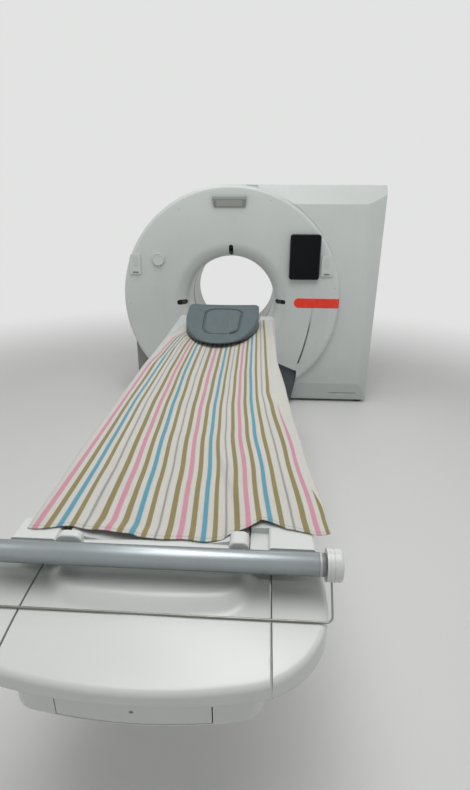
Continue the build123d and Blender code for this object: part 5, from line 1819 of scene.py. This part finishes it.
    def bail(self) -> None:
        """The plated wire bail that hangs from the heads and rests on the foot cover."""
        angle = math.radians(self.bail_angle)
        dy, dz = -math.cos(angle), -math.sin(angle)
        curve = bpy.data.curves.new("bail", "CURVE")
        curve.dimensions = "3D"
        curve.bevel_depth = self.wire_r
        curve.bevel_resolution = 5
        curve.use_fill_caps = True
        low, bend = self.bail_length, 0.014
        root = self.swivel_r - 0.005
        route = [(-self.bail_x, self.roll_y + root * dy, self.roll_z + root * dz)]
        for turn in quarter(8):
            along = low - bend + bend * math.sin(turn)
            x = -self.bail_x + bend * (1 - math.cos(turn))
            route.append((x, self.roll_y + along * dy, self.roll_z + along * dz))
        route += [(-x, y, z) for x, y, z in reversed(route)]
        spline = curve.splines.new("POLY")
        spline.points.add(len(route) - 1)
        for point, place in zip(spline.points, route):
            point.co = (*place, 1.0)
        held = show("bail", curve)
        form = Form().take(settled(held))
        bpy.data.objects.remove(held)
        bpy.data.curves.remove(curve)
        form.piece("paper_bail", Body.BAIL, WIRE, ["wire_bail"], crease=50, even=False)
        rim, half, soft = self.swivel_r, self.swivel_half, 0.0002
        edge = [
            (0.0103, -half), (rim - soft, -half), (rim, soft - half), (rim, half - soft),
            (rim - soft, half), (0.0103, half),
        ]
        discs = Form()
        for x in (-self.bail_x, self.bail_x):
            discs.add(Form.lathe(edge, (x, self.roll_y, self.roll_z), 72, ALONG_X))
        discs.piece("bail_swivels", Body.BAIL, WHITE_FOOT, crease=40, even=False)

    def build(self) -> None:
        """Builds the foot end in order."""
        self.foot_covers()
        self.cap()
        self.tray()
        self.heads()
        self.roll()
        self.bail()


@dataclass(frozen=True)
class Fold:
    """A soft ridge in the cloth.

    Attributes:
        start: Where it starts on the table, seen from above.
        end: Where it ends.
        height: How high it rises.
        width: How far it falls off to the sides.
    """

    start: Point2
    end: Point2
    height: float
    width: float

    def rise(self, x: float, y: float) -> float:
        """Finds how much the ridge lifts the cloth.

        Args:
            x: The place across.
            y: The place along.

        Returns:
            The lift there.
        """
        (x0, y0), (x1, y1) = self.start, self.end
        run = (x1 - x0) ** 2 + (y1 - y0) ** 2
        share = min(max(((x - x0) * (x1 - x0) + (y - y0) * (y1 - y0)) / run, 0.0), 1.0)
        away = math.hypot(x - x0 - (x1 - x0) * share, y - y0 - (y1 - y0) * share)
        ends = math.sin(math.pi * min(max(share, 0.04), 0.96)) ** 0.6
        return self.height * ends * math.exp(-((away / self.width) ** 2))


@dataclass
class Sheet:
    """The striped cotton sheet, laid loosely over the tabletop and the side covers.

    Attributes:
        head_y: Where the sheet ends under the head rest.
        length: The flat cloth's length.
        cradle_half: Half the width of the dished tabletop.
        table_z: The height of its edges, and dip is how far its middle lies under them.
        across: The cells of the mesh across, and along is their number lengthwise.
        right_x: Where the cloth leaves the table's right side, and left_x the left side.
        hem: The near edge, as x, y and height.
        lines: Threads of the flat cloth, each with its course as pairs of y and x.
        folds: The ridges.
    """

    head_y: float = -0.560
    length: float = 2.360
    cradle_half: float = 0.215
    table_z: float = 0.882
    dip: float = 0.026
    across: int = 132
    along: int = 300
    right_x: float = 0.336
    left_x: float = -0.328
    hem: Tuple[Point3, ...] = (
        (-0.330, -2.897, 0.883), (-0.311, -2.897, 0.884), (-0.292, -2.895, 0.885),
        (-0.215, -2.884, 0.886), (-0.162, -2.893, 0.884), (-0.072, -2.892, 0.879),
        (-0.030, -2.902, 0.8715), (0.028, -2.899, 0.870), (0.130, -2.902, 0.870),
        (0.170, -2.900, 0.8725), (0.194, -2.885, 0.882), (0.233, -2.864, 0.888),
        (0.259, -2.848, 0.891), (0.276, -2.836, 0.892), (0.306, -2.842, 0.889),
        (0.345, -2.860, 0.886), (0.382, -2.872, 0.885), (0.414, -2.880, 0.885),
        (0.446, -2.870, 0.883),
    )
    lines: Tuple[Tuple[float, Tuple[Point2, ...]], ...] = (
        (-0.098, ((-2.93, -0.331), (-2.66, -0.336), (-2.50, -0.346), (-1.54, -0.346),
                  (-1.40, -0.338), (-1.06, -0.332), (-0.865, -0.290), (-0.56, -0.232))),
        (-0.070, ((-2.93, -0.322), (-1.55, -0.323), (-1.38, -0.305), (-1.06, -0.289),
                  (-0.865, -0.225), (-0.56, -0.200))),
        (0.000, ((-2.93, -0.250), (-2.60, -0.252), (-2.40, -0.257), (-2.05, -0.266),
                 (-1.60, -0.261), (-1.30, -0.254), (-1.06, -0.242), (-0.865, -0.184),
                 (-0.56, -0.160))),
        (0.180, ((-2.90, -0.060), (-2.60, -0.075), (-2.30, -0.095), (-2.00, -0.110),
                 (-1.60, -0.123), (-1.20, -0.125), (-0.56, -0.097))),
        (0.360, ((-2.90, 0.124), (-2.60, 0.107), (-2.30, 0.083), (-2.00, 0.068), (-1.60, 0.060),
                 (-1.20, 0.054), (-0.56, 0.052))),
        (0.540, ((-2.90, 0.298), (-2.60, 0.274), (-2.30, 0.240), (-2.00, 0.220), (-1.60, 0.207),
                 (-1.20, 0.202), (-0.56, 0.196))),
        (0.630, ((-2.90, 0.390), (-2.80, 0.382), (-2.46, 0.350), (-2.08, 0.308), (-1.91, 0.290),
                 (-1.20, 0.280), (-0.56, 0.268))),
        (0.660, ((-2.90, 0.418), (-2.80, 0.411), (-2.46, 0.377), (-2.08, 0.340), (-1.91, 0.324),
                 (-1.45, 0.306), (-0.56, 0.292))),
        (0.690, ((-2.90, 0.444), (-2.80, 0.437), (-2.46, 0.403), (-2.08, 0.370), (-1.91, 0.357),
                 (-1.45, 0.330), (-0.56, 0.315))),
        (0.706, ((-2.90, 0.450), (-2.79, 0.447), (-2.45, 0.415), (-2.07, 0.385), (-1.90, 0.375),
                 (-1.45, 0.342), (-0.56, 0.326))),
    )
    folds: Tuple[Fold, ...] = (
        Fold((0.098, -2.30), (0.176, -2.64), 0.0088, 0.011),
        Fold((0.150, -2.52), (0.236, -2.86), 0.0096, 0.011),
        Fold((0.246, -2.40), (0.282, -2.86), 0.0060, 0.012),
        Fold((0.206, -1.50), (0.232, -2.10), 0.0046, 0.013),
        Fold((0.282, -1.62), (0.306, -2.02), 0.0042, 0.010),
        Fold((0.300, -1.95), (0.366, -2.44), 0.0040, 0.013),
        Fold((0.128, -1.16), (0.118, -1.70), 0.0034, 0.015),
        Fold((-0.075, -1.15), (-0.100, -1.60), 0.0028, 0.016),
        Fold((-0.205, -1.12), (-0.262, -1.50), 0.0040, 0.016),
        Fold((-0.262, -1.42), (-0.306, -1.72), 0.0036, 0.012),
        Fold((-0.212, -2.62), (-0.176, -2.88), 0.0050, 0.016),
        Fold((-0.120, -2.70), (-0.092, -2.91), 0.0030, 0.014),
        Fold((0.010, -2.76), (0.018, -2.91), 0.0026, 0.014),
    )

    def x_of(self, u: float, y: float) -> float:
        """Where a thread of the cloth lies across the table.

        Args:
            u: The thread's place across the flat cloth.
            y: The place along the table.

        Returns:
            The place across the table.
        """
        for (u0, first), (u1, second) in zip(self.lines, self.lines[1:]):
            if u <= u1 + 1e-9:
                share = (u - u0) / (u1 - u0)
                return follow(first, y) * (1 - share) + follow(second, y) * share
        return follow(self.lines[-1][1], y)

    def hem_y(self, x: float) -> float:
        """Where the near edge lies at a place across."""
        return follow([(at, low) for at, low, _ in self.hem], x)

    def height(self, x: float, y: float) -> float:
        """Finds the cloth's underside, a little over whatever carries it.

        Args:
            x: The place across.
            y: The place along.

        Returns:
            The height there.
        """
        inside = min(abs(x) / self.cradle_half, 1.0)
        z = self.table_z + 0.0022 - self.dip * (1 - inside * inside)
        z += 0.0022 * math.exp(-(((abs(x) - self.cradle_half) / 0.022) ** 2))
        z -= (0.05 + 0.20 * blend_steps(y, -2.75, -2.30)) * max(x - self.right_x, 0.0)
        z -= 0.45 * max(self.left_x - x, 0.0)
        long = noise.noise(Vector((x * 15.0, y * 1.6, 3.1)))
        fine = noise.noise(Vector((x * 34.0 + y * 2.0, y * 6.0, 7.7)))
        loose = 0.4 + 0.9 * blend_steps(y, -2.2, -1.2) + 0.8 * blend_steps(-y, 2.70, 2.90)
        z += (0.0016 * (long + 0.4) + 0.0008 * (fine + 0.4)) * loose
        for fold in self.folds:
            z += fold.rise(x, y)
        doubled = blend_steps(x - self.x_of(0.664, y), 0.0, 0.006)
        z += 0.0024 * doubled * blend_steps(y, -2.42, -2.2)
        edge = follow([(at, high) for at, _, high in self.hem], x)
        near = 1 - blend_steps(y - self.hem_y(x), 0.004, 0.075)
        return z + (edge + 0.0006 - z) * near

    def build(self) -> None:
        form = Form.sheet(self.across, self.along)
        layer = form.bm.loops.layers.uv.new("cut")
        left, right = self.lines[0][0], self.lines[-1][0]
        flat = {vert: (left + (right - left) * vert.co.x, vert.co.y) for vert in form.bm.verts}
        for face in form.bm.faces:
            for corner in face.loops:
                u, share = flat[corner.vert]
                corner[layer].uv = (u, share * self.length)
        for vert, (u, share) in flat.items():
            start = self.hem_y(self.x_of(u, -2.89))
            share = share ** 1.06
            y = start + (self.head_y - start) * share
            x = self.x_of(u, y)
            wave = 0.0022 * math.sin(u * 61 + 1.3) * (1 - blend_steps(share, 0.0, 0.03))
            vert.co = (x, y + wave, self.height(x, y))
        made = form.piece("striped_sheet", Body.TOP, CLOTH, ["sheet"], crease=80, even=False)
        thick = made.modifiers.new("cloth", "SOLIDIFY")
        thick.thickness = 0.0011
        thick.offset = 1.0
        thick.use_rim = True


@dataclass
class HeadRest:
    """The foam support for head and arms, a painted shade band at its foot, and the pad in its
    hollow.

    Attributes:
        half: Half its width.
        near_y: Its round near end; far_y is its far end.
        round_y: The depth of the near end's ellipse.
        corner: The radius of the far corners.
        low_z: Its underside; edge is its height at low_y, and rise what it gains from there.
        hollow_half: Half the hollow's width; hollow_x is its middle.
        hollow_start: How far up the slope it starts; hollow_length is its length there.
        hollow_corner: The radius of its corners, and hollow_depth is its depth.
        hollow_taper: How much it narrows towards the near end.
        lip: The radius of the support's upper edge.
        count: The points of each loop.
        pad_cap: The furthest that the pad's cover may swell.
    """

    half: float = 0.235
    near_y: float = -1.188
    far_y: float = -0.630
    round_y: float = 0.415
    corner: float = 0.034
    low_z: float = 0.8868
    edge: float = 0.022
    rise: float = 0.103
    low_y: float = -1.130
    hollow_half: float = 0.124
    hollow_x: float = 0.006
    hollow_start: float = 0.126
    hollow_length: float = 0.378
    hollow_corner: float = 0.078
    hollow_taper: float = 0.20
    hollow_depth: float = 0.014
    lip: float = 0.011
    count: int = 176
    pad_cap: float = 0.005

    def plan(self) -> List[Point2]:
        """Draws the support seen from above.

        Returns:
            Its outline, anticlockwise.
        """
        straight = self.near_y + self.round_y
        near = [
            (self.half * math.cos(a), straight + self.round_y * math.sin(a))
            for a in (math.pi + math.pi * i / 60 for i in range(61))
        ]
        far: List[Point2] = []
        for turn, sign in ((0, 1), (1, -1)):
            centre = (sign * (self.half - self.corner), self.far_y - self.corner)
            far += [polar(centre, self.corner, math.pi / 2 * turn + angle) for angle in quarter(8)]
        return near + far

    def slope_z(self, y: float) -> float:
        """The slanting top's height."""
        share = max(y - self.low_y, -0.03) / (self.far_y - self.low_y)
        return self.low_z + self.edge + self.rise * share

    def loop(self, outline: Sequence[Point2], centre: Point2) -> List[Point2]:
        """Reads an outline at even angles.

        Args:
            outline: The outline.
            centre: The point that the angles are about.

        Returns:
            As many points as every loop has.
        """
        loop: List[Point2] = []
        for step in range(self.count):
            angle = math.tau * step / self.count
            loop.append(polar(centre, reach(outline, centre, angle), angle))
        return loop

    def top(self, x: float, y: float) -> float:
        """The slightly dished top."""
        across = min(abs(x) / self.half, 1.0)
        return self.slope_z(y) - 0.0045 * (1 - across * across)

    def build(self) -> None:
        """Builds support, the painted shade band at its foot, and pad."""
        share = self.rise / (self.far_y - self.low_y)
        level_share = 1 / math.hypot(1, share)
        start = self.near_y + self.hollow_start * level_share
        length = self.hollow_length * level_share
        centre = (self.hollow_x, start + length / 2)
        plan = self.plan()
        narrow = self.hollow_taper / length
        hollow = [
            (centre[0] + x * (1 - narrow * max(-y, 0.0)), centre[1] + y)
            for x, y in rounded_box(self.hollow_half, length / 2, self.hollow_corner, 12)
        ]
        outer = self.loop(plan, centre)
        inner = self.loop(hollow, centre)

        def between(part: float) -> List[Point2]:
            """Makes a loop part of the way from the rounded rim to the hollow.

            Args:
                part: 0 at the rim and 1 at the hollow.

            Returns:
                The loop.
            """
            rim = inward(outer, self.lip)
            return [(x0 + (x1 - x0) * part, y0 + (y1 - y0) * part)
                    for (x0, y0), (x1, y1) in zip(rim, inner)]

        low = ((0.012, 0.0003), (0.004, 0.0006), (0.0010, 0.0035), (0.0, 0.0080))
        rings = level_rings(outer, [(depth, self.low_z + rise) for depth, rise in low])
        for angle in quarter(5):
            loop = inward(outer, self.lip * (1 - math.cos(angle)))
            rings.append(draped(loop, self.top, -self.lip * (1 - math.sin(angle))))
        for part in (0.12, 0.25, 0.38, 0.5, 0.62, 0.74, 0.84, 0.92):
            rings.append(draped(between(part), self.top))
        hollow_lip = 0.005
        for angle in quarter(5)[1:]:
            loop = between(0.92 + 0.07 * math.sin(angle))
            rings.append(draped(loop, self.top, -hollow_lip * (1 - math.cos(angle))))
        deep = self.hollow_depth
        rings.append(draped(between(1.0), self.top, 0.002 - deep))
        rings.append(draped(inward(inner, 0.003), self.top, -deep))
        floor = resized(inner, centre, 0.5)
        rings.append([(x, y, self.slope_z(y) - deep - 0.0035) for x, y in floor])
        made = Form.stack(rings).piece(
            "head_arm_support", Body.TOP, FOAM, ["head_support"], crease=60, even=False)
        # A thin dark band round the support's foot: painted shade under its edge.
        band = ((0.0030, 0.0002), (-0.0006, 0.0016), (-0.0012, 0.0040), (-0.0006, 0.0064),
                (0.0030, 0.0078))
        trim = Form.stack(level_rings(outer, [(depth, self.low_z + rise) for depth, rise in band]))
        trim.piece("support_edge_shade_band", Body.TOP, EDGE_SHADE_AND_CLASP, crease=60, even=False)
        self.pad(inner, centre)
        self.clasp(centre)

    def pad(self, inner: Sequence[Point2], centre: Point2) -> None:
        """The pad in the hollow, swelled by a short cloth simulation.

        Args:
            inner: The hollow's edge.
            centre: The hollow's middle.
        """
        floor, side = self.hollow_depth, 0.010
        edge = ((side, 0.0012), (0.0062, 0.0030), (0.0062, 0.0064), (side, 0.0086))
        rings = [draped(inward(inner, depth), self.top, lift - floor) for depth, lift in edge]
        for share in (0.8, 0.6, 0.4, 0.2):
            loop = resized(inward(inner, side), centre, share)
            rings.append(draped(loop, self.top, 0.0088 - floor))
        form = Form.stack(rings)
        made = show("head_pad_cover", form.mesh("head_pad_cover"))
        form.bm.free()
        swell(made, 0.0032, 4.0, 20, self.pad_cap)
        mesh = made.data
        bpy.data.objects.remove(made)
        finished = Form().take(mesh)

        def quilt(p: Vector) -> Vector:
            """Presses two sewn lines into the pad's top.

            Args:
                p: A point of the cover.

            Returns:
                Its new place.
            """
            depth = 0.0
            for x in (-0.042, 0.042):
                depth += 0.0020 * math.exp(-(((p.x - x) / 0.0035) ** 2))
            if p.z < self.top(p.x, p.y) - floor + 0.005:
                return p
            ends = blend_steps(abs(p.y - centre[1]), 0.125, 0.112)
            return Vector((p.x, p.y, p.z - depth * ends))

        finished.bend(quilt)
        pad = finished.piece("head_pad_cover", Body.TOP, PAD, ["head_pad"], crease=70, even=False)
        smooth = pad.modifiers.new("smooth", "SUBSURF")
        smooth.levels = smooth.render_levels = 1

    def clasp(self, centre: Point2) -> None:
        """The small dark tab across the hollow's near right corner.

        Args:
            centre: The hollow's middle.
        """
        turn, spot = math.radians(38), (centre[0] + 0.080, centre[1] - 0.158)
        outline = [
            polar(spot, math.hypot(x, y), math.atan2(y, x) + turn)
            for x, y in rounded_box(0.026, 0.009, 0.006, 5)
        ]
        edge = ((0.0, -0.006), (0.0, 0.0006), (0.0010, 0.0016), (0.0030, 0.0019))
        rings = [draped(inward(outline, shrink), self.top, lift) for shrink, lift in edge]
        Form.stack(rings).piece("support_clasp", Body.TOP, EDGE_SHADE_AND_CLASP, crease=40)


def swell(held: bpy.types.Object, voxel: float, pressure: float, frames: int, cap: float) -> None:
    """Swells a closed mesh like a stuffed cover and keeps the result.

    Args:
        held: The object, which ends with a plain mesh.
        voxel: The size of the even mesh that it gets first.
        pressure: The inner pressure.
        frames: How long the cloth moves.
        cap: The furthest that a point may move.
    """
    scene = bpy.context.scene
    remesh = held.modifiers.new("even mesh", "REMESH")
    remesh.mode = "VOXEL"
    remesh.voxel_size = voxel
    held.data = settled(held)
    held.modifiers.clear()
    rest = [vert.co.copy() for vert in held.data.vertices]
    cloth = held.modifiers.new("cover", "CLOTH")
    cloth.settings.use_pressure = True
    cloth.settings.uniform_pressure_force = pressure
    cloth.settings.effector_weights.gravity = 0.0
    cloth.settings.quality = 5
    cloth.point_cache.frame_start = 1
    cloth.point_cache.frame_end = frames
    for moment in range(1, frames + 1):
        scene.frame_set(moment)
    held.data = settled(held)
    held.modifiers.clear()
    scene.frame_set(1)
    for vert, start in zip(held.data.vertices, rest):
        move = vert.co - start
        if move.length > cap:
            vert.co = start + move * (cap / move.length)


@dataclass
class Lift:
    """The covers over the fixings of the lift's floor plate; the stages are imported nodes.

    Attributes:
        half_x: How far the fixings lie to each side.
        rows: Where they lie along the table.
        cap: A cover's section, as radius and height.
        plate_z: The plate's top.
    """

    half_x: float = 0.235
    rows: Tuple[float, ...] = (-1.700, -0.900)
    cap: Tuple[Point2, ...] = (
        (0.0003, 0.0), (0.018, 0.0), (0.017, 0.004), (0.013, 0.0065), (0.0003, 0.0072),
    )
    plate_z: float = 0.0119

    def build(self) -> None:
        """Puts a round cover at each corner of the plate."""
        form = Form()
        for x in (-self.half_x, self.half_x):
            for y in self.rows:
                turned = Form.lathe(self.cap, (0, 0, 0), 28)
                turned.bend(lambda p, x=x, y=y: Vector((p.x + x, p.z + y, p.y + self.plate_z)))
                turned.tidy()
                form.add(turned)
        form.piece("floor_fixing_caps", Body.GANTRY, TYRE, crease=40)


@dataclass(frozen=True)
class Lamp:
    """A soft rectangular lamp.

    Attributes:
        name: Its name.
        place: Where it hangs.
        aim: The point that it faces.
        size: Its width and length.
        power: Its watts.
        colour: Its light.
    """

    name: str
    place: Point3
    aim: Point3
    size: Point2
    power: float
    colour: Colour = (1.0, 1.0, 1.0)

    def build(self) -> None:
        """Makes the lamp."""
        data = bpy.data.lights.new(self.name, "AREA")
        data.shape = "RECTANGLE"
        data.size, data.size_y = self.size
        data.energy = self.power
        data.color = self.colour
        made = show(self.name, data)
        made.location = self.place
        facing = (Vector(self.aim) - Vector(self.place)).to_track_quat("-Z", "Y")
        made.rotation_euler = facing.to_euler()


@dataclass
class Studio:
    """Camera, pale floor, even background and soft lamps.

    Attributes:
        camera_place: Where the camera stands.
        pitch: How far it is turned up from straight down, in degrees.
        yaw: How far it is turned to the left.
        roll: How far it is turned about its own axis.
        lens: Its focal length in millimetres.
        backdrop: The background's colour.
        floor: The floor's colour.
        fill: The share of the background that lights the object.
        lamps: The lamps.
        floor_y: The floor's middle.
    """

    camera_place: Point3 = (0.2602, -3.8749, 1.6702)
    pitch: float = 67.773
    yaw: float = 3.299
    roll: float = 0.229
    lens: float = 21.817
    backdrop: Colour = srgb(226, 227, 226)
    floor: Colour = srgb(224, 224, 223)
    fill: float = 0.38
    lamps: Tuple[Lamp, ...] = (
        Lamp("ceiling_front", (0.4, -2.9, 4.3), (0.1, -2.5, 0.7), (3.2, 2.0), 64.0),
        Lamp("ceiling_back", (-0.4, -1.0, 4.4), (0.0, -0.8, 0.8), (3.4, 1.0), 44.0),
        Lamp("side_left", (-4.8, -2.2, 3.0), (0.0, -1.2, 0.8), (2.4, 2.4), 22.0),
        Lamp("side_right", (4.6, -2.4, 2.8), (0.9, -0.4, 1.0), (2.0, 2.0), 15.0),
        Lamp("behind", (2.2, 4.6, 3.4), (0.2, 0.4, 0.9), (2.4, 2.4), 24.0),
    )
    floor_y: float = -1.2

    def camera(self) -> None:
        """Places the camera where the photograph was taken."""
        data = bpy.data.cameras.new("camera")
        data.lens = self.lens
        data.sensor_width = 36.0
        data.sensor_fit = "AUTO"
        data.clip_end = 200.0
        made = show("camera", data)
        turn = (
            Matrix.Rotation(math.radians(self.yaw), 4, "Z")
            @ Matrix.Rotation(math.radians(self.pitch), 4, "X")
            @ Matrix.Rotation(math.radians(self.roll), 4, "Z")
        )
        made.matrix_world = Matrix.Translation(self.camera_place) @ turn
        bpy.context.scene.camera = made

    def ground(self) -> None:
        """The floor, which fades into the background far from the object."""
        form = Form()
        bmesh.ops.create_circle(
            form.bm, cap_ends=True, segments=96, radius=60.0,
            matrix=Matrix.Translation((0, self.floor_y, -0.0006)),
        )
        nodes = Nodes(bpy.data.materials.new("studio_floor"))
        place = nodes.place()
        x, y, _ = nodes.parts(place)
        away = ((x * x) + (y - self.floor_y) * (y - self.floor_y)) ** 0.5
        patch = nodes.noise(place, 1.2, 4.0)
        colour = nodes.mix(patch * 0.12, self.floor, toned(self.floor, 0.9))
        near = nodes.node(
            "ShaderNodeBsdfPrincipled", values={"Base Color": colour, "Roughness": 0.75})
        far = nodes.node("ShaderNodeEmission", values={"Color": self.backdrop, "Strength": 1.0})
        nodes.end(nodes.node("ShaderNodeMixShader", values={
            0: away.step(2.4, 5.6), 1: near, 2: far}))
        mesh = form.mesh("studio_floor")
        form.bm.free()
        mesh.materials.append(nodes.made)
        show("studio_floor", mesh)

    def world(self) -> None:
        """An even pale world: full for the camera and reflections, dimmer as light."""
        world = bpy.data.worlds.new("studio")
        bpy.context.scene.world = world
        nodes = Nodes(world)
        seen, mirrored, clear = (
            nodes.node("ShaderNodeLightPath", out=f"Is {kind} Ray")
            for kind in ("Camera", "Glossy", "Transmission")
        )
        level = nodes.node(
            "ShaderNodeMapRange", values={0: seen.most(mirrored).most(clear), 3: self.fill, 4: 1.0})
        nodes.end(nodes.node("ShaderNodeBackground", values={
            "Color": self.backdrop, "Strength": level}), "World")

    def build(self) -> None:
        """Sets the studio up."""
        bpy.context.scene.view_settings.view_transform = "Standard"
        self.camera()
        self.ground()
        self.world()
        for lamp in self.lamps:
            lamp.build()


def dress_nodes(plain: Dict[str, Finish]) -> None:
    """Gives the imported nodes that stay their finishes.

    Args:
        plain: Node name to finish.
    """
    for name, finish in plain.items():
        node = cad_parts[name]
        if not node.material_slots:
            node.data.materials.append(finish.material())
        for slot in node.material_slots:
            slot.material = finish.material()
        LOG.info("%s: finished as %s", name, finish.name)


def main() -> None:
    """Builds the dressed model in order."""
    logging.basicConfig(level=logging.INFO, format="%(message)s")
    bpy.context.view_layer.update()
    dress_nodes(PLAIN_NODES)
    GantryFront().build()
    for cover in COVERS:
        cover.build()
    FootEnd().build()
    Sheet().build()
    HeadRest().build()
    Lift().build()
    Studio().build()


if __name__ == "__main__":
    main()
